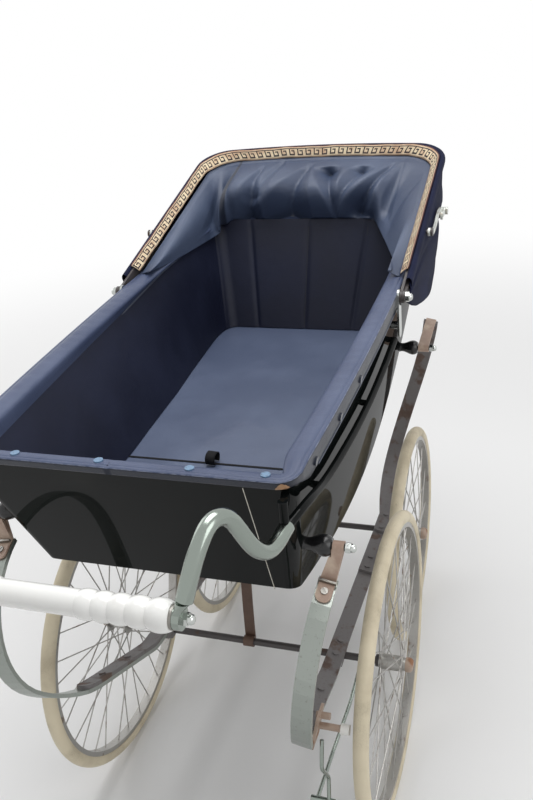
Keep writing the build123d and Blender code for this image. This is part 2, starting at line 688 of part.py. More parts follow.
# axles with their collars, and the saddles under the bars
AXLES = (dict(name="rear", x=0.0, r=REAR_WHEEL_R, half=REAR_TRACK / 2, layer=0, foot=24.0),
         dict(name="front", x=WHEELBASE, r=FRONT_WHEEL_R, half=FRONT_TRACK / 2, layer=1, foot=18.0))
saddles = []
for axle in AXLES:
    with BuildPart() as axle_rod:
        with BuildSketch(Plane(origin=(axle["x"], 0, axle["r"]), z_dir=(0, 1, 0))):
            Circle(AXLE_R)
        extrude(amount=axle["half"] + HUB_HALF + 3.0)
        collar_y = axle["half"] - HUB_HALF - CLEAR - 5.0
        with BuildSketch(Plane(origin=(axle["x"], collar_y, axle["r"]), z_dir=(0, 1, 0))):
            Circle(AXLE_R + 4.0)
        extrude(amount=5.0)
        mirror(about=Plane.XZ)
    keep(axle_rod.part, axle["name"] + "_axle")
    with BuildPart() as saddle:
        with BuildSketch(frame_plane):
            with BuildLine():
                low_v = (axle["r"] - AXLE_R - 4.0 - FRAME_Z) / cos(lean)
                rear, ahead = axle["x"] - SADDLE_L / 2, axle["x"] + SADDLE_L / 2
                foot_rear, foot_ahead = axle["x"] - axle["foot"], axle["x"] + axle["foot"]
                rear_v = line_v(foot_rear, axle["layer"]) - SEAT
                ahead_v = line_v(foot_ahead, axle["layer"]) - SEAT
                Polyline((foot_rear, rear_v), (foot_ahead, ahead_v), (foot_ahead, ahead_v - SADDLE_FOOT_T),
                         (ahead, ahead_v - SADDLE_FOOT_T), (ahead, low_v), (rear, low_v),
                         (rear, rear_v - SADDLE_FOOT_T), (foot_rear, rear_v - SADDLE_FOOT_T), close=True)
            make_face()
        extrude(amount=LEAF_W / 2, both=True)
        with BuildSketch(Plane(origin=(axle["x"], 0, axle["r"]), z_dir=(0, 1, 0))):
            Circle(AXLE_R + RUNNING_FIT)
        extrude(amount=400.0, mode=Mode.SUBTRACT)
        mirror(about=Plane.XZ)
    saddles.append(saddle.part)
with BuildPart() as axle_saddles:
    add(saddles)
keep(axle_saddles.part, "axle_saddles")

# bolts through the laps: place along the bar, lowest layer, layers; those at the rear axle end in its saddle
BAR_BOLTS = ((245.0, 0, 2), (280.0, 0, 2), (388.0, 1, 2), (442.0, 1, 2), (18.0, 0, 1), (-17.0, 0, 1))
SLOPE_BOLTS = (61.0, 135.0)
bar_up = Vector(-BAR_SLOPE, 1.0).normalized()
bend = leaf_line(-1, (REAR_LEAF_X, REAR_BEND_X), REAR_BASE[:1])
slope_way = bend % 1
slope_up = Vector(slope_way.Y, -slope_way.X)
bolts = [(Vector(*on_bar(x, low)), bar_up, layers) for x, low, layers in BAR_BOLTS]
bolts += [(bend @ 1 + slope_way * run, slope_up, 2) for run in SLOPE_BOLTS]
with BuildPart() as frame_bolts:
    for low_at, up, layers in bolts:
        top_at = low_at + up * (LEAF_T * layers + SEAT)
        up_world = in_frame(up.X, up.Y) - in_frame(0.0, 0.0)
        with BuildSketch(Plane(origin=in_frame(top_at.X, top_at.Y), z_dir=up_world)):
            Circle(BOLT_R)
        extrude(amount=BOLT_H)
        if layers > 1:
            nut_at = low_at - up * SEAT
            with BuildSketch(Plane(origin=in_frame(nut_at.X, nut_at.Y), z_dir=-up_world)):
                RegularPolygon(BOLT_R, 6)
            extrude(amount=BOLT_H * 1.6)
    mirror(about=Plane.XZ)
keep(frame_bolts.part, "frame_bolts")

# leather check strap between the belly and the rear axle
with BuildPart() as check_strap:
    with BuildSketch(Plane.XZ) as strap_side:
        with BuildLine():
            loop = AXLE_R + CLEAR
            ThreePointArc((loop, REAR_WHEEL_R), (20.0, 400.0), (50.0, 552.0))
            offset(amount=STRAP_T, side=Side.RIGHT, closed=True)
        make_face()
        with Locations((0.0, REAR_WHEEL_R)):
            Circle(loop + STRAP_T)
            Circle(loop, mode=Mode.SUBTRACT)
    extrude(amount=9.0, both=True)
    add(above_belly(-CLEAR), mode=Mode.SUBTRACT)
keep(check_strap.part, "check_strap")

# wheels: spoke counts per side, and where each wheel stands
WHEELS = (dict(name="rear", r=REAR_WHEEL_R, spokes=16, x=0.0, y=REAR_TRACK / 2),
          dict(name="front", r=FRONT_WHEEL_R, spokes=14, x=WHEELBASE, y=FRONT_TRACK / 2))
for kind in WHEELS:
    centre_r = kind["r"] - TYRE_R
    rim_r = centre_r - TYRE_R * 0.65
    base_r = rim_r - RIM_DEPTH
    with BuildPart() as tyre:
        with BuildSketch(Plane.XY) as tyre_section:
            with Locations((centre_r, 0)):
                Circle(TYRE_R)
            with Locations((rim_r - 10.0, 0)):
                Rectangle(20.1, 40.0, mode=Mode.SUBTRACT)
            with Locations(((base_r + RIM_WALL + rim_r) / 2 + 1.0, 0)):
                Rectangle(RIM_DEPTH - RIM_WALL + 1.9, 2 * (RIM_HALF_W - RIM_WALL) - 0.1)
        revolve(axis=Axis.Y)
    with BuildPart() as wheel:
        with BuildSketch(Plane.XY) as rim_section:
            with Locations(((base_r + rim_r) / 2, 0)):
                Rectangle(RIM_DEPTH, 2 * RIM_HALF_W)
            with Locations(((base_r + rim_r) / 2 + RIM_WALL, 0)):
                Rectangle(RIM_DEPTH, 2 * (RIM_HALF_W - RIM_WALL), mode=Mode.SUBTRACT)
        revolve(axis=Axis.Y)
        with BuildSketch(Plane.XY) as hub_section:
            with BuildLine():
                Polyline((AXLE_R + RUNNING_FIT, -HUB_HALF), (HUB_R - 2.0, -HUB_HALF),
                         (HUB_R - 2.0, -FLANGE_Y - FLANGE_T / 2), (FLANGE_R, -FLANGE_Y - FLANGE_T / 2),
                         (FLANGE_R, -FLANGE_Y + FLANGE_T / 2), (HUB_R, -FLANGE_Y + FLANGE_T / 2),
                         (HUB_R, FLANGE_Y - FLANGE_T / 2), (FLANGE_R, FLANGE_Y - FLANGE_T / 2),
                         (FLANGE_R, FLANGE_Y + FLANGE_T / 2), (HUB_R - 2.0, FLANGE_Y + FLANGE_T / 2),
                         (HUB_R - 2.0, HUB_HALF), (AXLE_R + RUNNING_FIT, HUB_HALF), close=True)
            make_face()
        revolve(axis=Axis.Y)
        spoke_l = 0.0
        for side in (1, -1):
            for k in range(kind["spokes"]):
                at_rim = radians(360.0 * (k + (side + 1) / 4) / kind["spokes"])
                at_hub = at_rim + radians(SPOKE_LEAN) * (1 if k % 2 else -1)
                foot = Vector((FLANGE_R - 2.5) * cos(at_hub), side * FLANGE_Y, (FLANGE_R - 2.5) * sin(at_hub))
                head = Vector((base_r + 0.6) * cos(at_rim), side * 1.5, (base_r + 0.6) * sin(at_rim))
                spoke_l = (head - foot).length
                with BuildSketch(Plane(origin=foot, z_dir=head - foot)):
                    RegularPolygon(SPOKE_R * 1.05, 6)
        extrude(amount=spoke_l)
    with BuildPart() as cap:
        with BuildSketch(Plane(origin=(0, HUB_HALF, 0), z_dir=(0, 1, 0))):
            Circle(CAP_R)
        extrude(amount=CAP_L)
        fillet(cap.edges().sort_by(Axis.Y)[-1], CAP_R * 0.6)
        with BuildSketch(Plane(origin=(0, HUB_HALF, 0), z_dir=(0, 1, 0))):
            Circle(AXLE_R + 1.0)
        extrude(amount=3.0 + CLEAR, mode=Mode.SUBTRACT)
    for side, side_name in ((1, "left"), (-1, "right")):
        for piece, piece_name in ((tyre, "tyre"), (wheel, "wheel"), (cap, "hub_cap")):
            with BuildPart() as placed:
                add(piece.part)
                if side < 0:
                    mirror(about=Plane.XZ, mode=Mode.REPLACE)
            placed_part = Pos(kind["x"], side * kind["y"], kind["r"]) * placed.part
            keep(placed_part, f"{piece_name}_{kind['name']}_{side_name}")

# hood brackets with the pivot pins
bracket_y = BOW_Y - BOW_T - CLEAR
flap_y = half_width(PIVOT_X, PIVOT_Z) + CLEAR + FLAP_T + CLEAR
with BuildPart() as hood_brackets:
    with BuildSketch(Plane(origin=(PIVOT_X, flap_y + 0.8, 0), x_dir=(1, 0, 0), z_dir=(0, -1, 0))):
        with Locations((0, (PIVOT_Z + 760.0) / 2)):
            SlotOverall(PIVOT_Z - 760.0 + 24.0, 20.0, rotation=90)
    extrude(amount=-(bracket_y - flap_y - 0.8))
    with BuildSketch(Plane(origin=(PIVOT_X, half_width(PIVOT_X, 768.0) - 3.0, 768.0), z_dir=(0, 1, 0))):
        Circle(6.0)
    extrude(amount=flap_y + 4.5 - half_width(PIVOT_X, 768.0))
    with BuildSketch(Plane(origin=(PIVOT_X, bracket_y - 1.0, PIVOT_Z), z_dir=(0, 1, 0))):
        Circle(PIN_R)
    extrude(amount=MID_Y + CLEAR - bracket_y + 1.0)
    mirror(about=Plane.XZ)
    add(hull_skin, mode=Mode.SUBTRACT)
keep(hood_brackets.part, "hood_brackets")
pivot_nuts = acorn_nut(PIVOT_X, MID_Y + CLEAR, PIVOT_Z, 8.0, 11.0)
keep(pivot_nuts, "pivot_nuts")


def tilted(angle, rise=0.0):
    """A plane through the hood's pivot line, lifted by an angle."""
    way = radians(angle)
    return Plane(origin=(PIVOT_X, 0, PIVOT_Z + rise), x_dir=(cos(way), 0, sin(way)),
                 z_dir=(-sin(way), 0, cos(way)))


def hoop(plane, start, reach, half, corner):
    """The closed outline of a hood bow: straight arms, round corners, crowned front."""
    with BuildSketch(plane) as outline:
        with BuildLine():
            Line((start, -half), (reach, -half))
            ThreePointArc((reach, -half), (reach + BOW_CROWN, 0), (reach, half))
            Polyline((reach, half), (start, half), (start, -half))
        make_face()
        fillet(outline.vertices().sort_by(lambda v: plane.to_local_coords(v.center()).X)[2:], corner)
    return outline.sketch


def bow(angle, reach, outer_y, half_h):
    """A flat hood bow with an eye at each arm's end."""
    plane = tilted(angle)
    outer = hoop(plane, 0.0, reach, outer_y, BOW_CORNER_R)
    inner = hoop(plane, -30.0, reach - BOW_T, outer_y - BOW_T, BOW_CORNER_R - BOW_T)
    with BuildPart() as strip:
        add(outer)
        extrude(amount=half_h, both=True)
        add(inner)
        extrude(amount=half_h, both=True, mode=Mode.SUBTRACT)
        for side in (1, -1):
            with BuildSketch(Plane(origin=(PIVOT_X, side * outer_y, PIVOT_Z), z_dir=(0, -side, 0))):
                Circle(PIN_R + 5.0)
            extrude(amount=BOW_T)
        with BuildSketch(Plane(origin=(PIVOT_X, -outer_y, PIVOT_Z), z_dir=(0, 1, 0))):
            Circle(PIN_R + RUNNING_FIT)
        extrude(amount=2 * outer_y, mode=Mode.SUBTRACT)
    return strip.part


# the irons' studs stand on the two bows; the elbow lies beyond them while the hood is down
stud_a = tilted(BOW_LIFT).from_local_coords((STUD_A_R, 0, 0))
stud_b = tilted(MID_LIFT).from_local_coords((STUD_B_R, 0, 0))
iron_way = (stud_b - stud_a).normalized()
elbow = stud_a + iron_way * IRON_A_L
front_bow = bow(BOW_LIFT, BOW_REACH, BOW_Y, BOW_HALF_H)
mid_bow = bow(MID_LIFT, MID_REACH, MID_Y, MID_HALF_H)
with BuildPart() as hood_bow_front:
    add(front_bow)
    for side in (1, -1):
        with BuildSketch(Plane(origin=(stud_a.X, side * (BOW_Y - 1.0), stud_a.Z), z_dir=(0, side, 0))):
            Circle(IRON_STUD_R)
        extrude(amount=IRON_Y + IRON_T + CLEAR - BOW_Y + 1.0)
        with BuildSketch(Plane(origin=(stud_a.X, side * (IRON_Y + IRON_T + CLEAR), stud_a.Z), z_dir=(0, side, 0))):
            Circle(IRON_STUD_R + 3.0)
        extrude(amount=4.0)
keep(hood_bow_front.part, "hood_bow_front")
with BuildPart() as hood_bow_mid:
    add(mid_bow)
    for side in (1, -1):
        with BuildSketch(Plane(origin=(stud_b.X, side * (MID_Y - 1.0), stud_b.Z), z_dir=(0, side, 0))):
            Circle(IRON_STUD_R)
        extrude(amount=IRON_Y + IRON_T - CLEAR - MID_Y + 1.0)
keep(hood_bow_mid.part, "hood_bow_mid")

# edging roll round the front bow
edging_sketches = (hoop(tilted(BOW_LIFT), LINING_START, BOW_REACH + CLEAR + EDGING_T, BOW_Y + CLEAR + EDGING_T,
                        BOW_CORNER_R + EDGING_T),
                   hoop(tilted(BOW_LIFT), -30.0, BOW_REACH + CLEAR, BOW_Y + CLEAR, BOW_CORNER_R + CLEAR))
with BuildPart() as hood_edging:
    add(edging_sketches[0])
    extrude(amount=BOW_HALF_H + 1.0)
    add(edging_sketches[1])
    extrude(amount=BOW_HALF_H + 1.0, mode=Mode.SUBTRACT)
    with BuildSketch(tilted(BOW_LIFT)):
        Rectangle(1200.0, 600.0)
    extrude(amount=IRON_STUD_R + CLEAR, mode=Mode.SUBTRACT)
    fillet(hood_edging.edges().filter_by(lambda e: tilted(BOW_LIFT).to_local_coords(e.center()).Z > BOW_HALF_H), 1.6)
keep(hood_edging.part, "hood_edging")

hole_axes = [Plane(origin=(p.X, -400.0, p.Z), z_dir=(0, 1, 0)) for p in (stud_a, stud_b)]


def cloth_wall(top_plane, low_plane, top, low, thickness, start):
    """A cloth wall between a bow's plane and the body, open towards the rear."""
    solids = []
    for grow in (0.0, -thickness):
        top_face = hoop(top_plane, start + 3 * grow, top[0] + grow, top[1] + grow, top[2] + grow)
        low_face = hoop(low_plane, start + 3 * grow, low[0] + grow, low[1] + grow, low[2] + grow)
        with BuildPart() as block:
            add(top_face)
            add(low_face)
            loft(ruled=True)
        solids.append(block.part)
    with BuildPart() as wall:
        add(solids[0])
        add(solids[1], mode=Mode.SUBTRACT)
    return wall.part


rim_angle = degrees(atan(RIM_SLOPE))
cover_wall = cloth_wall(tilted(BOW_LIFT, BOW_HALF_H), tilted(rim_angle, -COVER_DROP),
                        (COVER_REACH + COVER_T, COVER_Y + COVER_T, 68.0),
                        (COVER_LOW_REACH + COVER_T, COVER_Y + COVER_T, 68.0), COVER_T, COVER_START)
with BuildPart() as hood_cover:
    add(cover_wall)
    for plane in hole_axes:
        with BuildSketch(plane):
            Circle(IRON_STUD_R + 2.5)
        extrude(amount=800.0, mode=Mode.SUBTRACT)
keep(hood_cover.part, "hood_cover")
lining_wall = cloth_wall(tilted(BOW_LIFT, BOW_HALF_H - 2.0), tilted(rim_angle, RIM_PAD_T + CLEAR),
                         (BOW_REACH - BOW_T - CLEAR, BOW_Y - BOW_T - CLEAR, BOW_CORNER_R - BOW_T - CLEAR),
                         (384.0, 224.0, 44.0), HOOD_LINING_T, LINING_START)
keep(lining_wall, "hood_lining")


def iron(start, end, from_y, sag, eye_r):
    """A bowed flat link with an eye at each end, on the left side."""
    way = (end - start).normalized()
    plane = Plane(origin=(start.X, from_y, start.Z), x_dir=(way.X, 0, way.Z), z_dir=(0, 1, 0))
    length = (end - start).length
    with BuildPart() as link:
        with BuildSketch(plane):
            with BuildLine():
                if sag:
                    ThreePointArc((0, 0), (length * 0.25, sag), (length * 0.5, 0))
                    ThreePointArc((length * 0.5, 0), (length * 0.75, -sag), (length, 0))
                else:
                    Line((0, 0), (length, 0))
                offset(amount=IRON_W / 2, side=Side.BOTH)
            make_face()
            with Locations((0, 0), (length, 0)):
                Circle(eye_r)
                Circle(IRON_STUD_R + RUNNING_FIT, mode=Mode.SUBTRACT)
        extrude(amount=IRON_T)
    return link


iron_front = iron(stud_a, elbow, IRON_Y, 9.0, 7.0)
with BuildPart() as iron_front_pinned:
    add(iron_front.part)
    with BuildSketch(Plane(origin=(elbow.X, IRON_Y, elbow.Z), z_dir=(0, 1, 0))):
        Circle(IRON_STUD_R + RUNNING_FIT + 0.5)
    extrude(amount=IRON_T)
    with BuildSketch(Plane(origin=(elbow.X, IRON_Y, elbow.Z), z_dir=(0, 1, 0))):
        Circle(IRON_STUD_R)
    extrude(amount=2 * IRON_T + 2 * CLEAR)
    with BuildSketch(Plane(origin=(elbow.X, IRON_Y + 2 * IRON_T + 2 * CLEAR, elbow.Z), z_dir=(0, 1, 0))):
        Circle(IRON_STUD_R + 3.0)
    extrude(amount=3.0)
both_sides(iron_front_pinned.part, "iron_front")
both_sides(iron(elbow, stud_b, IRON_Y + IRON_T + CLEAR, 0.0, 7.0).part, "iron_rear")

# foot brake on the right: plate on the spring's edge, plunger at the tyre, rods down to the pedal
right_plane = Plane(origin=(0, -FRAME_Y, FRAME_Z), x_dir=(1, 0, 0), z_dir=(0, -cos(lean), -sin(lean)))
BRAKE_X = -225.0
BRAKE_Z = 326.0
PEDAL = (-238.0, 190.0)
with BuildPart() as brake_plate:
    with BuildSketch(right_plane.offset(LEAF_W / 2 + 0.1)):
        with Locations((BRAKE_X, (BRAKE_Z - FRAME_Z) / cos(lean))):
            RectangleRounded(36.0, 66.0, 8.0)
    extrude(amount=4.0)
    plate_y = -(FRAME_Y + (BRAKE_Z - FRAME_Z) * FRAME_LEAN + LEAF_W / 2 + 2.0)
    for z, reach in ((BRAKE_Z + 20.0, 20.0), (BRAKE_Z, REAR_TRACK / 2 - TYRE_R - 17.0 + plate_y)):
        with BuildSketch(Plane(origin=(BRAKE_X, plate_y, z), z_dir=(0, -1, 0))):
            Circle(5.0)
        extrude(amount=reach)
keep(brake_plate.part, "brake_plate")
with BuildPart() as brake_block:
    with BuildSketch(Plane(origin=(BRAKE_X, -(REAR_TRACK / 2 - TYRE_R - 17.0), BRAKE_Z), z_dir=(0, -1, 0))):
        Circle(7.5)
    extrude(amount=12.0)
keep(brake_block.part, "brake_block")
with BuildPart() as brake_rods:
    with BuildLine() as long_rod:
        FilletPolyline((4.0, -197.0, REAR_WHEEL_R - 8.0), (-60.0, -190.0, 206.0), (-150.0, -183.0, 192.0),
                       (PEDAL[0], -181.0, PEDAL[1]), radius=40.0)
    with BuildSketch(Plane(origin=long_rod.line @ 0, z_dir=long_rod.line % 0)):
        Circle(3.0)
    sweep()
    with BuildSketch(Plane(origin=(0.0, -200.0, REAR_WHEEL_R), z_dir=(0, 1, 0))):
        Circle(AXLE_R + 4.5)
        Circle(AXLE_R + RUNNING_FIT, mode=Mode.SUBTRACT)
    extrude(amount=6.0)
with BuildPart() as short_rod:
    with BuildLine() as short_line:
        FilletPolyline((BRAKE_X - 4.0, plate_y - 6.0, BRAKE_Z - 24.0), (-244.0, -194.0, 262.0),
                       (-224.0, -197.0, 224.0), (PEDAL[0], -199.0, PEDAL[1]), radius=14.0)
    with BuildSketch(Plane(origin=short_line.line @ 0, z_dir=short_line.line % 0)):
        Circle(3.0)
    sweep()
    with BuildSketch(Plane(origin=(PEDAL[0], -172.0, PEDAL[1]), z_dir=(0, -1, 0))):
        Circle(5.0)
    extrude(amount=36.0)
with BuildPart() as brake_linkage:
    add(brake_rods.part)
    add(short_rod.part)
keep(brake_linkage.part, "brake_linkage")

# move the origin under the middle of the whole and write every piece
boxes = [piece.bounding_box() for piece in pieces.values()]
middle_x = (min(box.min.X for box in boxes) + max(box.max.X for box in boxes)) / 2
for name, piece in pieces.items():
    placed = Pos(-middle_x, 0, 0) * piece
    placed.label = name
    export_step(placed, f"parts/{name}.step")
print(f"rear axle at x = {-middle_x:.2f}")
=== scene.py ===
# %% [markdown]
# # A coach-built baby carriage
# The carriage comes from the CAD model as a fixed frame: shell, springs, wheels, handle and
# hood bows. This file dresses it. It gives every piece its finish, and it makes the soft
# goods (hood cloth, hood lining, padded rim, lined inside) as surfaces worked out with numpy.
# They could be sculpted by hand, but a formula can be read, changed and run again. Lengths
# are in metres, +X points away from the handle, +Y left, +Z up.

import bpy
import numpy as np
from mathutils import Matrix, Vector


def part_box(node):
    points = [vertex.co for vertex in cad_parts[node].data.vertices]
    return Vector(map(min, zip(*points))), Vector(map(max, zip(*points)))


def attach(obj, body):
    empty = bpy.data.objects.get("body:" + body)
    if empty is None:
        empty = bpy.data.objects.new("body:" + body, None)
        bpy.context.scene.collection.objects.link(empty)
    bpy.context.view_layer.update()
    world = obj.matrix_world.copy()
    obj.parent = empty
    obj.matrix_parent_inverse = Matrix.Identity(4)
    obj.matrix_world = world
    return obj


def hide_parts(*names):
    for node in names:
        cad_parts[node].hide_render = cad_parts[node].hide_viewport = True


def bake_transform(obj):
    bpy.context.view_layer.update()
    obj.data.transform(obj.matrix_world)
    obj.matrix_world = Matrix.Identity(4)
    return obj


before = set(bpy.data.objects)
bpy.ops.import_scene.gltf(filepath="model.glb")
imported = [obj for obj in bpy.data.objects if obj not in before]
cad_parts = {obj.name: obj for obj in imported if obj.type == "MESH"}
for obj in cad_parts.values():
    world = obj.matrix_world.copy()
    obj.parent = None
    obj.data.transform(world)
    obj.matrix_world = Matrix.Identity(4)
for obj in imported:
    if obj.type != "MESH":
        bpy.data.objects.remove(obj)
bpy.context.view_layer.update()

# %% [markdown]
# The photograph was measured from the rear axle, so places are written from it, as a coach
# builder would: `at(x, y, z)` takes millimetres from the ground under the rear axle and gives
# a place in the frame. The axle itself is looked up there, so nothing is fitted by eye.

# %% Places from the rear axle
axle_low, axle_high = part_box("rear_axle")
AXLE_X = (axle_low[0] + axle_high[0]) / 2


def at(x, y, z):
    """A place in the frame, in metres, from millimetres measured from the rear axle's foot."""
    x, y, z = np.broadcast_arrays(np.asarray(x, float), y, z)
    return np.stack([x / 1000 + AXLE_X, y / 1000, z / 1000], -1)


print("rear axle at x =", round(AXLE_X, 4))

# %% [markdown]
# ## Camera
# A camera set by eye fits some lines of a photograph and misses others, so this one was solved
# from the wheels and the body's lines. It looks forward and down from behind the handle, a
# little to the right, and it is rolled by a few degrees. The lens is given for a frame whose
# longer side is 36 mm.

# %% Camera
CAMERA_PLACE = (-1080.8, -477.8, 1266.0)
CAMERA_YAW, CAMERA_PITCH, CAMERA_ROLL = 0.35626, 0.44270, -0.09963
CAMERA_LENS = 38.93

camera_data = bpy.data.cameras.new("camera")
camera_data.lens = CAMERA_LENS
camera = bpy.data.objects.new("camera", camera_data)
bpy.context.scene.collection.objects.link(camera)
look = Vector((np.cos(CAMERA_YAW) * np.cos(CAMERA_PITCH), np.sin(CAMERA_YAW) * np.cos(CAMERA_PITCH),
               -np.sin(CAMERA_PITCH)))
level_right = Vector((np.sin(CAMERA_YAW), -np.cos(CAMERA_YAW), 0))
level_up = level_right.cross(look)
right = level_right * np.cos(CAMERA_ROLL) + level_up * np.sin(CAMERA_ROLL)
up = right.cross(look)
camera.matrix_world = Matrix((
    (right.x, up.x, -look.x, 0), (right.y, up.y, -look.y, 0), (right.z, up.z, -look.z, 0), (0, 0, 0, 1)))
camera.location = at(*CAMERA_PLACE)
bpy.context.scene.camera = camera
print("camera at", [round(value, 3) for value in camera.location], "lens", CAMERA_LENS)

# %% [markdown]
# ## Shader helpers
# Nodes can be placed by hand in the shader editor, but shader maths reads best as plain
# arithmetic. `Socket` wraps an output of a node, and each operator on it adds a Math node.

# %% Sockets that can be reckoned with
class Socket:
    """A value inside a material's node tree; arithmetic on it adds Math nodes."""

    def __init__(self, finish, link):
        self.finish, self.link = finish, link

    def maths(self, operation, *values):
        return self.finish.maths(operation, *values)

    def __add__(self, other):
        return self.maths("ADD", self, other)

    def __sub__(self, other):
        return self.maths("SUBTRACT", self, other)

    def __rsub__(self, other):
        return self.maths("SUBTRACT", other, self)

    def __mul__(self, other):
        return self.maths("MULTIPLY", self, other)

    def __gt__(self, other):
        return self.maths("GREATER_THAN", self, other)

    def __lt__(self, other):
        return self.maths("LESS_THAN", self, other)

    __radd__, __rmul__ = __add__, __mul__

    def fract(self):
        return self.maths("FRACT", self)

    def sine(self):
        return self.maths("SINE", self)

    def size(self):
        return self.maths("ABSOLUTE", self)

    def ramp(self, low, high):
        """0 below low, 1 above high, and a smooth step between them."""
        return self.finish.node("MapRange", {"interpolation_type": "SMOOTHSTEP"},
                                {"Value": self, "From Min": low, "From Max": high})


print("socket helper ready")

# %% [markdown]
# `Finish` is a material with its Principled shader; every other node comes from its one
# method `node`, settings first and sockets after. Patterns read the piece's own coordinates,
# or the UV map that every sheet carries: along it in x and across it in y. Both belong to the
# piece, so no pattern slides when the camera or the piece moves.

# %% Finishes
SHEET_MAP = "along_across"


class Finish:
    """A material: a Principled shader and the nodes that vary it."""

    def __init__(self, name, **sockets):
        self.material = bpy.data.materials.new(name)
        self.material.use_nodes = True
        self.tree = self.material.node_tree
        self.shader = self.tree.nodes["Principled BSDF"]
        self.set(**sockets)

    def node(self, kind, settings=None, sockets=None, out=0):
        """Adds a node; settings are set first, then its sockets get values or links."""
        new = self.tree.nodes.new("ShaderNode" + kind)
        for key, value in (settings or {}).items():
            setattr(new, key, value)
        for key, value in (sockets or {}).items():
            self.feed(new.inputs[key], value)
        return Socket(self, new.outputs[out])

    def maths(self, operation, *values):
        """A Math node on one or two values."""
        return self.node("Math", {"operation": operation}, dict(enumerate(values)))

    def feed(self, socket, value):
        """Links a value that is a Socket, and writes any other; a colour gets its fourth number."""
        if isinstance(value, Socket):
            self.tree.links.new(value.link, socket)
        elif hasattr(socket.default_value, "__len__") and len(value) == 3 and len(socket.default_value) == 4:
            socket.default_value = (*value, 1.0)
        else:
            socket.default_value = value

    def set(self, **sockets):
        """Feeds the shader: base_color=..., roughness=..., normal=..."""
        for key, value in sockets.items():
            self.feed(self.shader.inputs[key.replace("_", " ").title().replace("Ior", "IOR")], value)

    def place(self, stretch=(1, 1, 1)):
        """Object coordinates in metres, stretched along the axes."""
        spot = self.node("TexCoord", out="Object")
        return self.node("Mapping", None, {"Vector": spot, "Scale": stretch})

    def spot(self, axis):
        """How far a point lies along X (0), Y (1) or Z (2), in metres."""
        return self.node("SeparateXYZ", None, {0: self.place()}, axis)

    def sheet(self, axis):
        """How far along (0) or across (1) its sheet a point lies, from 0 to 1."""
        return self.node("SeparateXYZ", None, {0: self.node("UVMap", {"uv_map": SHEET_MAP})}, axis)

    def colour(self):
        """The colour that feeds the shader so far, for another layer to go over it."""
        return Socket(self, self.shader.inputs["Base Color"].links[0].from_socket)

    def noise(self, scale, detail=3.0, stretch=(1, 1, 1)):
        """Slow random values between 0 and 1, with scale waves in a metre."""
        return self.node("TexNoise", None, {"Vector": self.place(stretch), "Scale": scale, "Detail": detail})

    def cells(self, scale, feature="F1"):
        """Distance from scattered points, or from the borders between them, scale points in a metre."""
        return self.node("TexVoronoi", {"feature": feature}, {"Vector": self.place(), "Scale": scale},
                         "Distance")

    def mix(self, factor, first, second):
        """A colour from first (factor 0) to second (factor 1)."""
        return self.node("Mix", {"data_type": "RGBA"}, {0: factor, 6: first, 7: second}, 2)

    def bump(self, height, distance):
        """Feeds Normal from a height; distance is the relief in metres."""
        self.set(normal=self.node("Bump", None, {"Height": height, "Distance": distance, "Strength": 1.0}))
        return self


print("finish helper ready, sheet map", SHEET_MAP)

# %% [markdown]
# ## Coachwork paint
# Shell and side rails are black enamel, brushed on and polished. A picture of old paint could
# be wrapped on them, but it would be right from one side only. Noise and a cell pattern give
# dust and specks of a real size all over. The shader's own specular level is 0, so the gloss
# comes from the coat alone and the black stays deep.

# %% Coachwork paint
ENAMEL, DUST = (0.004, 0.005, 0.005), (0.12, 0.12, 0.10)
coach_black = Finish("coach_black", specular_ior_level=0.0, coat_weight=0.30)
dust = coach_black.noise(9.0, 6.0).ramp(0.55, 0.8)
specks = coach_black.cells(420.0).ramp(0.10, 0.04)
coach_black.set(base_color=coach_black.mix(dust * 0.05 + specks * 0.10, ENAMEL, DUST),
                roughness=dust * 0.10 + 0.15)
coach_black.bump(coach_black.noise(14.0, 2.0), 0.0006)
print("paint ready:", coach_black.material.name)

# %% [markdown]
# ## Coated cloth
# Rim, floor board and lining wear cotton that is coated to look like leather. The grain could
# be cut into the mesh, at a great many faces. A cell pattern used as relief gives the same
# pebbles, and two close shades of one colour drift over it. One function makes each of them.

# %% Coated cloth
NAVY_DARK, NAVY_LIGHT = (0.046, 0.062, 0.120), (0.084, 0.106, 0.180)


def leatherette(name, dark, light, grain=900.0, rough=0.42):
    """Coated cloth: slow noise and pebbles mix dark with light, and the pebbles also raise it."""
    finish = Finish(name, coat_weight=0.12)
    shade = finish.noise(7.0, 4.0).ramp(0.35, 0.7)
    pebble = finish.cells(grain, "SMOOTH_F1")
    finish.set(base_color=finish.mix(shade * 0.7 + pebble * 0.3, dark, light),
               roughness=shade * 0.10 + rough - 0.05)
    return finish.bump(pebble + finish.noise(60.0, 3.0) * 1.5, 0.00025)


navy_leatherette = leatherette("navy_leatherette", NAVY_DARK, NAVY_LIGHT, rough=0.36)
board_cover = leatherette("board_cover", (0.066, 0.086, 0.146), (0.092, 0.118, 0.190), grain=1400.0)
inside_cloth = leatherette("inside_cloth", (0.003, 0.0045, 0.015), (0.007, 0.010, 0.028),
                           grain=1200.0, rough=0.55)
inside_cloth.set(specular_ior_level=0.28, coat_weight=0.0)
navy_piping = leatherette("navy_piping", (0.020, 0.028, 0.052), (0.060, 0.075, 0.115), rough=0.35)
print("coated cloths ready, base shade", NAVY_DARK)
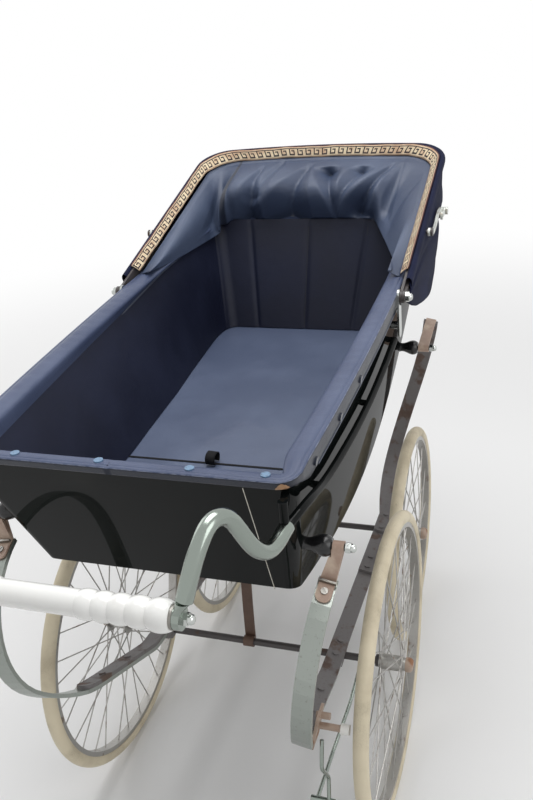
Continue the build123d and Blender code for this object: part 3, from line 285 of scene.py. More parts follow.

# %% [markdown]
# The hood's lining is the same cloth, with a painted shadow beside the left lobe. Where the lobe's
# swell drops back into the sheet, a dark line at one place along the sheet stands in for the shade
# that the step would cast. The seam could be a thin cord. It is drawn here as a dark line at one
# place along the sheet, read from the sheet's own UV map, because that lies in the cloth however
# the hood is turned.

# %% Lining of the hood
LOBE_SHADOW_PLACE = 0.3468
lining_cloth = leatherette("lining_cloth", (0.036, 0.052, 0.098), (0.072, 0.097, 0.160),
                           grain=1700.0, rough=0.46)
# Painted shadow: a dark line where the left lobe's edge steps back, in place of the shade it would cast.
lobe_edge_shadow = 1 - (lining_cloth.sheet(0) - LOBE_SHADOW_PLACE).size().ramp(0.0008, 0.0034)
with_painted_shadow = lining_cloth.mix(lobe_edge_shadow * 0.85, lining_cloth.colour(), (0.004, 0.006, 0.014))
lining_cloth.set(base_color=with_painted_shadow, coat_weight=0.0)
print("seam at", LOBE_SHADOW_PLACE, "of the sheet's length")

# %% [markdown]
# The rim's cloth has two things of its own. Its outer flap is lit less than the top, so it is
# painted almost black as painted shade, with a painted highlight along the fold, and the UV map
# tells these apart. At the right rear corner it is worn through to the wood. A patch of mesh
# would show its edge as a step, so the ragged spot is all points near that corner, by a distance
# with noise added to it.

# %% Painted shade on the flap, and worn corner of the rim
WORN_CORNER = at(-336.0, -208.0, 782.0)
WOOD_REACH, TORN_REACH = 0.0140, 0.0158
FLAP_SHARE, HIGHLIGHT_SHARE = 0.27, 0.30
rim_cloth = leatherette("rim_cloth", NAVY_DARK, NAVY_LIGHT, rough=0.36)
across_rim = rim_cloth.sheet(1)
# Painted shade: the outer flap is lit less, so its cloth is darkened almost to black.
shaded_flap = rim_cloth.mix(across_rim < FLAP_SHARE, rim_cloth.colour(), (0.016, 0.020, 0.034))
# Painted highlight: a light line along the flap's fold, broken up by noise.
highlight_band = (across_rim > FLAP_SHARE) * (across_rim < HIGHLIGHT_SHARE)
fold_highlight = highlight_band * rim_cloth.noise(120.0, 4.0).ramp(0.35, 0.6)
shaded_and_highlit = rim_cloth.mix(fold_highlight * 0.6, shaded_flap, (0.30, 0.33, 0.42))
from_corner = rim_cloth.node("VectorMath", {"operation": "DISTANCE"},
                             {0: rim_cloth.place(), 1: tuple(WORN_CORNER)}, "Value")
ragged = from_corner + rim_cloth.noise(160.0, 4.0) * 0.012
torn_cloth = rim_cloth.mix(ragged < TORN_REACH, shaded_and_highlit, (0.02, 0.015, 0.02))
chipped_wood = rim_cloth.mix(rim_cloth.noise(300.0, 4.0), (0.62, 0.40, 0.24), (0.30, 0.15, 0.08))
rim_cloth.set(base_color=rim_cloth.mix(ragged < WOOD_REACH, torn_cloth, chipped_wood),
              specular_ior_level=0.3, coat_weight=0.0)
print("worn corner at", [round(float(value), 4) for value in WORN_CORNER])

# %% [markdown]
# ## Woven cloth
# The hood's outside is a woven cloth, and so is the webbing of the pull loop. Modelled threads
# would take millions of faces. Two sets of ridges that cross, each a sine wave on the piece's
# own coordinates, give the weave as relief. THREAD_WAVE is the waves' angle in a metre.

# %% Woven cloth
THREAD_WAVE = 3000.0


def woven(name, dark, light):
    """A plain weave: the product of two crossing sine waves, over slow changes of shade."""
    finish = Finish(name, roughness=0.85, specular_ior_level=0.2)
    ahead, sideways, upwards = finish.spot(0), finish.spot(1), finish.spot(2)
    weave = ((ahead + sideways) * THREAD_WAVE).sine() * ((upwards + sideways * 0.4) * THREAD_WAVE).sine()
    shade = finish.noise(11.0, 5.0).ramp(0.35, 0.75)
    finish.set(base_color=finish.mix(shade * 0.7 + weave * 0.15 + 0.1, dark, light))
    return finish.bump(weave, 0.00012)


hood_cloth = woven("hood_cloth", (0.003, 0.005, 0.020), (0.009, 0.013, 0.046))
webbing = woven("webbing", (0.006, 0.006, 0.007), (0.02, 0.02, 0.022))
print("thread ridges every", round(2000 * np.pi / THREAD_WAVE, 2), "mm")

# %% [markdown]
# ## Metals
# The handle and the brake's rods are chrome plate gone dull, with pits that let rust through.
# Their dark green-grey tint is partly dull plating and partly a painted reflection of green grass.
# A plain grey would look like paint. Metallic 1 makes the base colour tint the reflection, and
# haze and pits change the roughness, which tells old plating from new more than colour does.

# %% Plated metal
chrome = Finish("chrome", metallic=1.0)
haze = chrome.noise(26.0, 5.0).ramp(0.4, 0.75)
pits = chrome.cells(700.0).ramp(0.16, 0.05) * chrome.noise(40.0, 2.0).ramp(0.5, 0.7)
# Base colour: dark green-grey, partly dull plating and partly a painted reflection of green grass.
chrome.set(base_color=chrome.mix(pits * 0.6, (0.28, 0.315, 0.285), (0.10, 0.09, 0.06)),
           roughness=haze * 0.16 + pits * 0.3 + 0.15)
chrome.bump(chrome.noise(90.0, 3.0) + pits * 0.5, 0.00015)

bright_chrome = Finish("bright_chrome", base_color=(0.52, 0.54, 0.52), metallic=1.0)
bright_chrome.set(roughness=bright_chrome.noise(50.0, 4.0).ramp(0.4, 0.8) * 0.2 + 0.12)
dull_screw = Finish("dull_screw", base_color=(0.26, 0.25, 0.23), metallic=1.0, roughness=0.35)
dull_screw.bump(dull_screw.noise(300.0, 3.0), 0.0002)
print("plating ready:", chrome.material.name, bright_chrome.material.name, dull_screw.material.name)

# %% [markdown]
# The press studs are enamelled blue; those on the flap are painted nearly black, as painted shade
# to match the flap's shaded cloth. They are one piece of the CAD model, so their place along the
# carriage tells them apart. The hood's irons are painted white over metal and have gone patchy.

# %% Painted studs and irons
SHADED_STUDS_X = float(at(-312.0, 0, 0)[0])
stud_blue = Finish("stud_blue", roughness=0.35, coat_weight=0.2)
scuffed = stud_blue.noise(400.0, 4.0).ramp(0.5, 0.75)
stud_paint = stud_blue.mix(scuffed, (0.13, 0.23, 0.36), (0.05, 0.08, 0.12))
# Studs on the flap are painted near black: painted shade, as on the flap's cloth.
stud_blue.set(base_color=stud_blue.mix(stud_blue.spot(0) > SHADED_STUDS_X, stud_paint, (0.022, 0.028, 0.045)))
iron_white = Finish("iron_white", metallic=0.3, roughness=0.35)
patchy = iron_white.noise(80.0, 5.0).ramp(0.5, 0.7)
iron_white.set(base_color=iron_white.mix(patchy, (0.64, 0.66, 0.62), (0.30, 0.27, 0.22)))
print("studs are dark from x =", round(SHADED_STUDS_X, 4))

# %% [markdown]
# Springs, bars, axles and wheels rust, each to its own degree. Rust could be a second material
# on chosen faces, but then its edges would follow the facets. One function mixes paint or
# plating with rust by two noises, patches and fine specks, and dulls and raises the rust.

# %% Rusting steel
def rusting(name, paint, rust, amount, metallic=0.0, rough=0.45, scale=28.0):
    """Rust over paint: wide patches plus a third of fine specks, both started earlier by amount."""
    finish = Finish(name)
    patches = finish.noise(scale, 7.0).ramp(0.66 - amount, 0.78 - amount)
    fine = finish.noise(scale * 9, 4.0).ramp(0.60 - amount * 0.4, 0.72)
    rusty = finish.maths("MINIMUM", patches + fine * 0.35, 1.0)
    tone = finish.mix(finish.noise(scale * 3, 5.0), rust, [0.45 * channel for channel in rust])
    finish.set(base_color=finish.mix(rusty, paint, tone), roughness=rusty * 0.4 + rough)
    if metallic:
        finish.set(metallic=(1 - rusty) * metallic)
    return finish.bump(rusty * 0.6 + finish.noise(220.0, 3.0) * 0.3, 0.0004)


bar_grey = rusting("bar_grey", (0.150, 0.140, 0.140), (0.155, 0.105, 0.085), 0.13, rough=0.5)
spring_steel = rusting("spring_steel", (0.31, 0.335, 0.31), (0.17, 0.15, 0.12), 0.0, metallic=0.9, rough=0.33)
dark_steel = rusting("dark_steel", (0.050, 0.044, 0.044), (0.11, 0.065, 0.045), 0.06)
rust_steel = rusting("rust_steel", (0.36, 0.27, 0.21), (0.34, 0.17, 0.09), 0.14)
wheel_steel = rusting("wheel_steel", (0.40, 0.39, 0.37), (0.22, 0.14, 0.09), 0.06, metallic=0.8, rough=0.36)
print("finishes so far:", len(bpy.data.materials))

# %% [markdown]
# ## Grip, tyres and rubber
# The grip is moulded and glossy. The tyres are cream rubber, dirty and finely cracked: cell
# borders make the cracks, and slow noise lets them show in places only. Sleeves on the posts
# are black rubber, and the brake's block was white once.

# %% Grip, tyres and rubber
grip_white = Finish("grip_white", roughness=0.16, coat_weight=0.5)
yellowed = grip_white.noise(30.0, 5.0).ramp(0.45, 0.8) * 0.25
grip_white.set(base_color=grip_white.mix(yellowed, (0.82, 0.82, 0.80), (0.62, 0.60, 0.54)))
grip_white.bump(grip_white.noise(35.0, 3.0), 0.0003)

tyre_cream = Finish("tyre_cream")
grime = tyre_cream.noise(16.0, 7.0).ramp(0.42, 0.72)
cracked_places = tyre_cream.noise(24.0, 3.0).ramp(0.45, 0.65)
cracks = tyre_cream.cells(260.0, "DISTANCE_TO_EDGE").ramp(0.05, 0.0) * cracked_places
soil = grime * 0.45 + cracks * 0.35
tyre_cream.set(base_color=tyre_cream.mix(soil, (0.66, 0.585, 0.43), (0.33, 0.27, 0.185)),
               roughness=grime * 0.15 + 0.55)
tyre_cream.bump(tyre_cream.noise(160.0, 4.0) - cracks, 0.0003)

black_rubber = Finish("black_rubber", base_color=(0.008, 0.008, 0.009))
black_rubber.set(roughness=black_rubber.noise(40.0, 4.0).ramp(0.4, 0.8) * 0.25 + 0.22)
black_rubber.bump(black_rubber.noise(120.0, 4.0), 0.0003)
white_rubber = Finish("white_rubber", roughness=0.5)
soiled = white_rubber.noise(45.0, 5.0).ramp(0.45, 0.7) * 0.5
white_rubber.set(base_color=white_rubber.mix(soiled, (0.72, 0.71, 0.68), (0.42, 0.38, 0.32)))
print("finishes so far:", len(bpy.data.materials))

# %% [markdown]
# ## Leather, wood and line paint
# The body hangs from the springs by leather straps, worn pale and creased. The ledge under the
# floor is bare wood, whose rings are noise stretched along the grain. A thin cream line paint
# trims the rear panel.

# %% Leather, wood and line paint
strap_leather = Finish("strap_leather")
worn = strap_leather.noise(36.0, 6.0).ramp(0.4, 0.7)
strap_leather.set(base_color=strap_leather.mix(worn, (0.38, 0.26, 0.20), (0.58, 0.46, 0.36)),
                  roughness=worn * 0.2 + 0.38)
strap_leather.bump(strap_leather.cells(700.0, "DISTANCE_TO_EDGE") + worn * 0.5, 0.0003)
dark_strap = Finish("dark_strap", roughness=0.55)
dark_strap.set(base_color=dark_strap.mix(dark_strap.noise(50.0, 5.0), (0.045, 0.022, 0.015),
                                         (0.13, 0.075, 0.05)))
bare_wood = Finish("bare_wood", roughness=0.7)
rings = bare_wood.noise(40.0, 5.0, stretch=(1, 8, 8))
bare_wood.set(base_color=bare_wood.mix(rings, (0.46, 0.29, 0.16), (0.62, 0.44, 0.28)))
bare_wood.bump(rings, 0.0003)
coach_line = Finish("coach_line", roughness=0.3)
flaked = coach_line.noise(300.0, 3.0).ramp(0.45, 0.7) * 0.5
coach_line.set(base_color=coach_line.mix(flaked, (0.62, 0.60, 0.52), (0.2, 0.19, 0.16)))
print("finishes so far:", len(bpy.data.materials))

# %% [markdown]
# ## Threads and key-pattern braid
# The braid on the bow is woven with a running key: a line that turns inwards by right angles
# and starts again, 66 times along the bow. A picture of it could be laid on the sheet. Here a
# unit is five oblong strokes, and a point belongs to the key where it lies in any of them, so
# the edges stay sharp at every distance.

# %% Threads and key-pattern braid
seam_thread = Finish("seam_thread", base_color=(0.003, 0.004, 0.010), roughness=0.7)
seam_thread.bump(seam_thread.noise(900.0, 2.0), 0.0002)
red_thread = Finish("red_thread", roughness=0.8)
red_thread.set(base_color=red_thread.mix(red_thread.noise(500.0, 3.0), (0.03, 0.008, 0.012),
                                         (0.10, 0.030, 0.030)))

KEY_UNITS, UNIT_STEPS = 66.0, 8.0
# Strokes of a unit: left and right in steps along the braid, low and high in steps across it.
KEY_STROKES = ((0.0, 8.0, 0.3, 1.2), (0.5, 1.6, 0.3, 6.5), (0.5, 5.8, 5.4, 6.5),
               (4.7, 5.8, 2.3, 6.5), (2.7, 5.8, 2.3, 3.4))
key_braid = Finish("key_braid", roughness=0.85)
along_braid, across_braid = key_braid.sheet(0), key_braid.sheet(1)
in_unit = (along_braid * KEY_UNITS).fract() * UNIT_STEPS
steps_up = across_braid * 9.0 - 1.0
on_key = 0.0
for left, right, low, high in KEY_STROKES:
    stroke = (in_unit > left) * (in_unit < right) * (steps_up > low) * (steps_up < high)
    on_key = key_braid.maths("MAXIMUM", on_key, stroke)
selvedge = key_braid.maths("MAXIMUM", steps_up < 0.0, steps_up > 7.2)
faded_braid = key_braid.noise(60.0, 4.0).ramp(0.40, 0.75)
ground = key_braid.mix(faded_braid, (0.86, 0.72, 0.50), (0.62, 0.42, 0.27))
key_thread = key_braid.mix(faded_braid, (0.020, 0.012, 0.018), (0.06, 0.035, 0.035))
key_braid.set(base_color=key_braid.mix(selvedge * 0.5, key_braid.mix(on_key, ground, key_thread),
                                       (0.45, 0.24, 0.16)))
braid_threads = (along_braid * (KEY_UNITS * UNIT_STEPS * 2 * np.pi)).sine() * (across_braid * 88.0).sine()
key_braid.bump(braid_threads + on_key * 0.8, 0.0003)
print("braid:", int(KEY_UNITS), "units of", len(KEY_STROKES), "strokes")

# %% [markdown]
# ## Dress the CAD pieces
# Rigid pieces keep their CAD shape and only get a finish. They could be dressed one by one as
# they are met; a table from finish to the starts of the nodes' names says it all in one place,
# and a node that it forgets stops the script.

# %% Dress the CAD pieces
DRESSED_IN = {
    coach_black: ("body_shell", "side_rails"),
    navy_leatherette: ("rim_cover",),
    inside_cloth: ("lining",),
    bare_wood: ("floor_ledge",),
    board_cover: ("floor_board", "floor_flap"),
    webbing: ("pull_tab",),
    stud_blue: ("press_studs",),
    grip_white: ("handle_grip",),
    dull_screw: ("handle_collars", "strap_rivets"),
    bright_chrome: ("handle_nuts", "post_nuts", "hood_brackets", "pivot_nuts"),
    chrome: ("handle_tubes", "brake_linkage"),
    black_rubber: ("body_posts",),
    bar_grey: ("main_bar", "lap_plate", "axle_saddles", "frame_bolts", "front_spring"),
    spring_steel: ("rear_spring",),
    strap_leather: ("rear_strap", "front_strap"),
    dark_strap: ("check_strap",),
    dark_steel: ("rear_axle", "front_axle", "hood_bow"),
    tyre_cream: ("tyre",),
    wheel_steel: ("wheel",),
    rust_steel: ("hub_cap", "brake_plate"),
    hood_cloth: ("hood_edging", "hood_cover"),
    lining_cloth: ("hood_lining",),
    iron_white: ("iron",),
    white_rubber: ("brake_block",),
}
for name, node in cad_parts.items():
    finish = next(finish for finish, starts in DRESSED_IN.items() if name.startswith(starts))
    node.data.materials.clear()
    node.data.materials.append(finish.material)
print("dressed", len(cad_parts), "CAD pieces")

# %% [markdown]
# ## Surfaces from numbers
# Cloth, padding and ribbons are grids of points: a first direction across the piece and a
# second along it. They could be built face by face in Edit Mode; `surface` turns a grid into
# quads in one call, and a Solidify modifier gives it the cloth's thickness. `tube` sweeps a
# circle along a line for piping.

# %% Grid surfaces and tubes
def surface(name, grid, finish, thickness=0.0, closed=False):
    """Quads between neighbours in a grid of rows, columns and xyz; closed joins last to first column."""
    rows, columns = grid.shape[:2]
    index = np.arange(rows * columns).reshape(rows, columns)
    if closed:
        index = np.concatenate([index, index[:, :1]], 1)
    quads = np.stack([index[:-1, :-1], index[:-1, 1:], index[1:, 1:], index[1:, :-1]], -1).reshape(-1, 4)
    mesh = bpy.data.meshes.new(name)
    mesh.from_pydata(grid.reshape(-1, 3).tolist(), [], quads.tolist())
    across, along = np.meshgrid(np.linspace(0, 1, rows), np.linspace(0, 1, columns), indexing="ij")
    corners = np.empty(len(mesh.loops), int)
    mesh.loops.foreach_get("vertex_index", corners)
    uv = np.stack([along, across], -1).reshape(-1, 2)[corners]
    mesh.uv_layers.new(name=SHEET_MAP).data.foreach_set("uv", uv.ravel())
    mesh.polygons.foreach_set("use_smooth", np.ones(len(mesh.polygons), bool))
    mesh.materials.append(finish.material)
    piece = bpy.data.objects.new(name, mesh)
    bpy.context.scene.collection.objects.link(piece)
    if thickness:
        cloth = piece.modifiers.new("thickness", "SOLIDIFY")
        cloth.thickness, cloth.offset = thickness, 0.0
    print(name, len(mesh.polygons), "quads")
    return piece


def tube(name, line, radius, finish, sides=10):
    """A round cord along a line of points: a circle in the plane square to the line at each."""
    ahead = np.gradient(line, axis=0)
    ahead = ahead / np.linalg.norm(ahead, axis=1, keepdims=True)
    side = np.cross(ahead, (0.0, 0.0, 1.0))
    side = side / np.linalg.norm(side, axis=1, keepdims=True)
    top = np.cross(side, ahead)
    turn = np.linspace(0, 2 * np.pi, sides + 1)[:, None, None]
    return surface(name, line + radius * (np.cos(turn) * side + np.sin(turn) * top), finish)


print("surface and tube ready")

# %% [markdown]
# `flat_size` measures how much cloth a grid takes when it is laid flat. `smooth` rounds a line
# that was measured at a few places, and `step` goes softly from 0 to 1. Blender's own
# modifiers smooth as well, but only once the mesh is made.


def smooth(values, width):
    """A running mean along the last direction, with the ends held."""
    pad = [(0, 0)] * (values.ndim - 1) + [(width, width)]
    held = np.pad(values, pad, mode="edge")
    weights = np.hanning(2 * width + 3)[1:-1]
    weights = weights / weights.sum()
    return np.apply_along_axis(lambda row: np.convolve(row, weights, "valid"), -1, held)


def step(value, low, high):
    """A smooth step from 0 at low to 1 at high: three times the square less twice the cube."""
    way = np.clip((np.asarray(value, float) - low) / (high - low), 0, 1)
    return way * way * (3 - 2 * way)


print("a soft step's middle is", float(step(0.5, 0, 1)))

# %% [markdown]
# ## The body's outline
# Rim, lining and piping all follow the body. Their lines could be read off the shell's mesh,
# but its points don't line up from one height to the next. So the plan is a formula: straight
# ends, round corners and bowed sides, which draw in downwards, the ends faster than the sides.
# `plan` gives that closed line at any inset and height, always with the same columns.

# %% Outline of the body
# Columns of one half: rear end, rear corner, side, front corner, front end.
COUNTS = (36, 12, 150, 14, 76)
# The height that the next numbers hold at, and how far below it the sides have lost theirs (mm).
PLAN_TOP, HULL_DEPTH = 850.0, 320.0
# Ends from the rear axle, their lean in mm for each mm of height, and the corners' radii.
REAR_END, FRONT_END = -361.0, 596.0
REAR_LEAN, FRONT_LEAN = 0.4219, 0.45625
REAR_CORNER, FRONT_CORNER = 22.0, 40.0
# Half width at the rear end, at the front end, and the sides' bow: at the top, and lost on the way down.
HALF_TOP, HALF_LOST = (231.0, 228.0, 11.5), (55.0, 56.0, 1.0)

segment = np.repeat(np.arange(5), COUNTS)
share = np.concatenate([np.arange(count) / count for count in COUNTS])
segment = np.concatenate([segment, segment[::-1]])
share = np.concatenate([share, share[::-1]])
hull_side = np.where(np.arange(len(share)) < len(share) // 2, 1.0, -1.0)
print("outline columns", len(share))


def body_ends(z):
    """Where the body's rear and front ends stand at a height: each leans in evenly on the way down."""
    fall = PLAN_TOP - z
    return REAR_END + REAR_LEAN * fall, FRONT_END - FRONT_LEAN * fall


def half_width(x, z):
    """Half width of the body (mm): a straight line from end to end plus a parabola, less lower down."""
    down = (PLAN_TOP - z) / HULL_DEPTH
    rear_half, front_half, bow = (top - lost * down for top, lost in zip(HALF_TOP, HALF_LOST))
    rear, front = body_ends(z)
    along = (x - rear) / (front - rear)
    return rear_half * (1 - along) + front_half * along + 4 * bow * along * (1 - along)


def plan(inset, z):
    """The body's outline at an inset and a height (mm): the left half, then its mirror image."""
    inset, z = np.broadcast_arrays(np.asarray(inset, float), z, share)[:2]
    rear, front = body_ends(z)
    rear, front = rear + inset, front - inset
    rear_round, front_round = np.maximum(REAR_CORNER - inset, 2.0), np.maximum(FRONT_CORNER - inset, 2.0)
    rear_half, front_half = half_width(rear, z) - inset, half_width(front, z) - inset
    turn = np.pi / 2 * share
    side_x = rear + rear_round + (front - front_round - rear - rear_round) * share
    x = np.choose(segment, [rear, rear + rear_round * (1 - np.cos(turn)), side_x,
                            front - front_round * (1 - np.sin(turn)), front])
    y = np.choose(segment, [(rear_half - rear_round) * share, rear_half - rear_round * (1 - np.sin(turn)),
                            half_width(side_x, z) - inset, front_half - front_round * (1 - np.cos(turn)),
                            (front_half - front_round) * (1 - share)])
    return x, y * hull_side, z


# %% [markdown]
# The panels' top edge isn't level: it climbs by 5 cm in a metre towards the hood. Each column
# of the outline gets its height on that edge once, and the pieces below are written from it.

# %% The rim's line
HANDLE_END_X, HANDLE_END_Z, RIM_SLOPE = -335.0, 788.0, 0.0514
HOOD_END = (515.0, 560.0)


def rim_z(x):
    """Height of the panels' top edge: a straight slope from its height at the handle end."""
    return HANDLE_END_Z + RIM_SLOPE * (x - HANDLE_END_X)


nominal_x = plan(0.0, 800.0)[0]
nominal_x = plan(0.0, rim_z(nominal_x))[0]
rim_level = rim_z(nominal_x)
at_front = step(nominal_x, *HOOD_END)
print("rim from", round(float(rim_level.min()), 1), "to", round(float(rim_level.max()), 1), "mm")

# %% [markdown]
# ## Padded rim
# The panels' top edge is wrapped in a padded strip of coated cloth. Across it the outline
# runs up the narrow outer flap, over the crowned pad and down inside to a piped edge. Cloth
# simulation is the usual way to swell a pad. Drawing the section is quicker, and it keeps the
# narrow flap and its fold in place. One section is for the sides, one for the handle end,
# lower and without a flap, both as (inset, height above the rim's line), and the strip goes
# over from one to the other along the body.

# %% Sections of the rim
# Points: inset and height in mm, from under the flap over the crown to the skirt's edge.
SIDE_SECTION = np.array([(-1.0, -25.2), (-2.6, -25.4), (-3.0, -24.6), (-3.0, -13.0), (-2.9, 4.0),
                         (-2.9, 6.4), (-2.4, 7.9), (-1.2, 8.7), (0.6, 9.1), (1.8, 9.2), (2.5, 8.7),
                         (3.2, 9.3), (8.0, 9.9), (14.0, 9.6), (20.0, 8.2), (24.6, 6.2), (26.2, 4.6),
                         (26.7, 2.2), (26.2, -1.0), (23.6, -7.0), (20.6, -15.0), (18.6, -22.0)])
END_SECTION = np.array([(-1.0, -6.2), (-2.6, -6.4), (-3.0, -5.9), (-3.0, -4.0), (-2.9, 1.5),
                        (-2.9, 3.6), (-2.5, 4.7), (-1.4, 5.3), (0.4, 5.7), (1.5, 5.8), (2.1, 5.4),
                        (2.7, 5.8), (5.0, 6.1), (8.0, 6.2), (11.0, 6.0), (14.0, 5.4), (15.8, 4.4),
                        (16.5, 2.6), (16.7, -1.0), (16.7, -7.0), (16.7, -13.0), (16.7, -20.0)])
# Point numbers in a section: top of the flap, the crown and its middle, and the pad's inner edge.
FLAP_TOP, CROWN, CROWN_MIDDLE, INNER_EDGE = 8, range(12, 16), 13, 16
print("rim sections of", len(SIDE_SECTION), "points,", SIDE_SECTION[:, 1].max(), "mm high")

# %% [markdown]
# The strip follows the plan, one line of it for each point of the section. The flap begins a
# few centimetres from the handle end, and the skirt inside reaches down less and less towards
# the hood. Under the hood's front the pad is sunk and tucked in, so that the hood's lining can
# pass over it. Slow ripples on the crown keep it from looking drawn with a ruler.

# %% Padded rim
FLAP_BEGINS = (-326.0, -282.0)
FRONT_SINK, FRONT_TUCK = 7.0, 3.0
at_side = step(nominal_x, *FLAP_BEGINS) * (1 - 0.9 * at_front)
skirt_drop = np.where(nominal_x < 400.0, np.minimum(-34.0 + 0.0532 * (nominal_x + 245.0), -5.0), -5.0)
skirt = step(np.arange(len(SIDE_SECTION)), 17.0, 21.0)
ripple = 0.35 * np.sin(nominal_x * 0.11) * np.sin(nominal_x * 0.037 + 1.0) + 0.25 * np.sin(nominal_x * 0.29)


def rim_row(point):
    """One line along the rim: a point of the end section blended into the side section's, sunk in front."""
    inset, height = (END_SECTION[point] + (SIDE_SECTION[point] - END_SECTION[point]) * at_side[:, None]).T
    height = height + skirt[point] * at_side * (skirt_drop + 22.0)
    if point in CROWN:
        height = height + ripple * (0.5 + 0.5 * at_side)
    if point > INNER_EDGE:
        height = height + (1.5 - 0.6 * (point - INNER_EDGE) - height) * at_front
    if point > FLAP_TOP:
        height = height - FRONT_SINK * at_front
    if point > CROWN_MIDDLE:
        inset = inset - FRONT_TUCK * at_front
    return at(*plan(inset, rim_level + height))


rim_grid = np.stack([rim_row(point) for point in range(len(SIDE_SECTION))])
rim_pad = surface("rim_pad", rim_grid, rim_cloth, thickness=0.0009, closed=True)
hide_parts("rim_cover")
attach(rim_pad, "carriage")

# %% [markdown]
# Thin piping is sewn along both edges of the strip, on the sides only. It follows the same
# plan, so it can't leave the cloth: the inner one at the skirt's edge, the outer one under
# the flap.

# %% Piping of the rim
side_columns = (nominal_x > -262.0) & (nominal_x < 430.0)
for side_name, sign in (("left", 1.0), ("right", -1.0)):
    chosen = side_columns & (hull_side == sign)
    for start, inset, height, radius in (("rim_piping_", 18.4, skirt_drop, 0.0019),
                                         ("flap_piping_", -3.6, -25.0, 0.0012)):
        edge_line = at(*(part[chosen] for part in plan(inset, rim_level + height)))
        piping = tube(start + side_name, edge_line, radius, navy_piping)
        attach(piping, "carriage")

# %% [markdown]
# ## Lined inside
# The walls are lined with thinly padded cloth. Each column runs from under the rim down to
# the floor, which is narrower at the handle end than the body is. At the head end sewn seams
# pull the lining in and leave shallow swells between them: a puff less a dip at each seam.
# A simulated pad could swell there too; the formula is quicker and keeps the seams thin.

# %% Lined inside
LINING_INSET, FLOOR_Z = 16.4, 641.2
# The head seams' places across the body, and how wide the dip at each of them is (mm).
SEAMS, SEAM_DIP = np.array([133.0, 9.0, -112.0]), 5.0
nominal_y = plan(16.5, rim_level)[1]
near_seam = np.abs(nominal_y[:, None] - SEAMS).min(1)
at_head = (nominal_x > 560.0).astype(float)
puff = at_head * (3.0 - 3.2 * np.exp(-(near_seam / SEAM_DIP) ** 2)) + (1 - at_head) * 0.6
# How much narrower than the body the floor is, from the handle end to the head end.
floor_taper = np.interp(nominal_x, (-360.0, -72.0, 178.0, 500.0), (0.31, 0.28, 0.20, 0.03))


def lining_row(down):
    """One line round the walls at a share of the way down: puffed and sagging most at half height."""
    level = (rim_level - 1.0 + 7.5 * at_front) * (1 - down) + FLOOR_Z * down
    sag = 0.6 * np.sin(nominal_x * 0.021 + down * 5.0) * np.sin(down * np.pi)
    tuck = 1.4 * at_front * (1 - step(down, 0.0, 0.12))
    swell = np.sin(np.pi * np.clip(down * 0.94 + 0.03, 0, 1)) ** 0.4
    x, y, z = plan(LINING_INSET + tuck + puff * swell + sag * 0.8, level)
    return at(x, y * (1 - floor_taper * down), z)


inside = surface("inside_cover", np.stack([lining_row(down) for down in np.linspace(0, 1, 28)]),
                 inside_cloth, closed=True)
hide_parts("lining")
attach(inside, "carriage")

# %% [markdown]
# Each head seam is a thin dark thread in its dip, from just under the rim to the floor. A dark
# line in the finish would do from afar, but it wouldn't catch the light.

# %% Head seams
HEAD_X, SEAM_FOOT = 575.0, 642.0
for k, y in enumerate(SEAMS):
    level = rim_z(HEAD_X) + (SEAM_FOOT - rim_z(HEAD_X)) * np.linspace(0.04, 1, 24)
    seam_line = at(body_ends(level)[1] - LINING_INSET, y, level)
    seam = tube(f"head_seam_{k}", seam_line, 0.0009, seam_thread, sides=6)
    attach(seam, "carriage")

# %% [markdown]
# ## Hood
# Folded down, the hood is a hoop of cloth: the front bow lies on top, tilted 16 degrees about
# the pivot, and everything else hangs from it. `hoop` gives the bow's line at any reach, half
# width and rise. Along it, `sweep` runs from the left pivot (0) to the right one (1), and
# `forward` from either pivot (0) to the middle of the front (1).

# %% The bow's line
PIVOT_X, PIVOT_Z = 193.0, 815.0
HOOD_COLUMNS = 320
# Shares of the way forward at which a bow's arm and its corner end, and how far its front bows out.
ARM_END, CORNER_END, FRONT_BOW = 0.5, 0.68, 16.0
sweep = np.linspace(0, 1, HOOD_COLUMNS)
forward = 1 - np.abs(1 - 2 * sweep)
hood_side = np.where(sweep < 0.5, 1.0, -1.0)


def hoop(reach, half, corner, start, rise, angle=16.0):
    """A hood bow's line: straight arms, round corners, crowned front, in a plane through the pivot."""
    turn = np.pi / 2 * np.clip((forward - ARM_END) / (CORNER_END - ARM_END), 0, 1)
    arm = start + (reach - corner - start) * np.clip(forward / ARM_END, 0, 1)
    run = arm + corner * np.sin(turn)
    to_middle = np.clip((forward - CORNER_END) / (1 - CORNER_END), 0, 1)
    y = half - corner * (1 - np.cos(turn)) - (half - corner) * to_middle
    run = run + FRONT_BOW * (1 - (y / half) ** 2) * (forward > ARM_END)
    tilt = np.radians(angle)
    return np.stack([PIVOT_X + run * np.cos(tilt) - rise * np.sin(tilt), y * hood_side,
                     PIVOT_Z + run * np.sin(tilt) + rise * np.cos(tilt)], -1)


def table_line(table, blur=9):
    """A smooth line through a table of (sweep, x, y, z) rows."""
    table = np.array(table)
    line = np.stack([np.interp(sweep, table[:, 0], table[:, column]) for column in (1, 2, 3)])
    return smooth(line, blur).T


print("hood columns", HOOD_COLUMNS)

# %% [markdown]
# The edge roll is cloth wrapped round the bow. A bevelled curve would be round everywhere; the
# roll hangs a little lower than it stands, so it is an uneven ring of hoops about the bow.

# %% Edge roll
ROLL_SIDES = 18


def roll_row(turn):
    """One line along the roll: a ring about the bow, 1.3 times as deep below as it is high above."""
    wide, tall = np.cos(turn), np.sin(turn)
    deeper = 1.0 if tall > 0 else 1.3
    return hoop(reach=493.0 + 8.0 * wide, half=250.0 + 5.5 * wide, corner=58.0, start=34.0,
                rise=3.0 + 9.5 * tall * deeper)


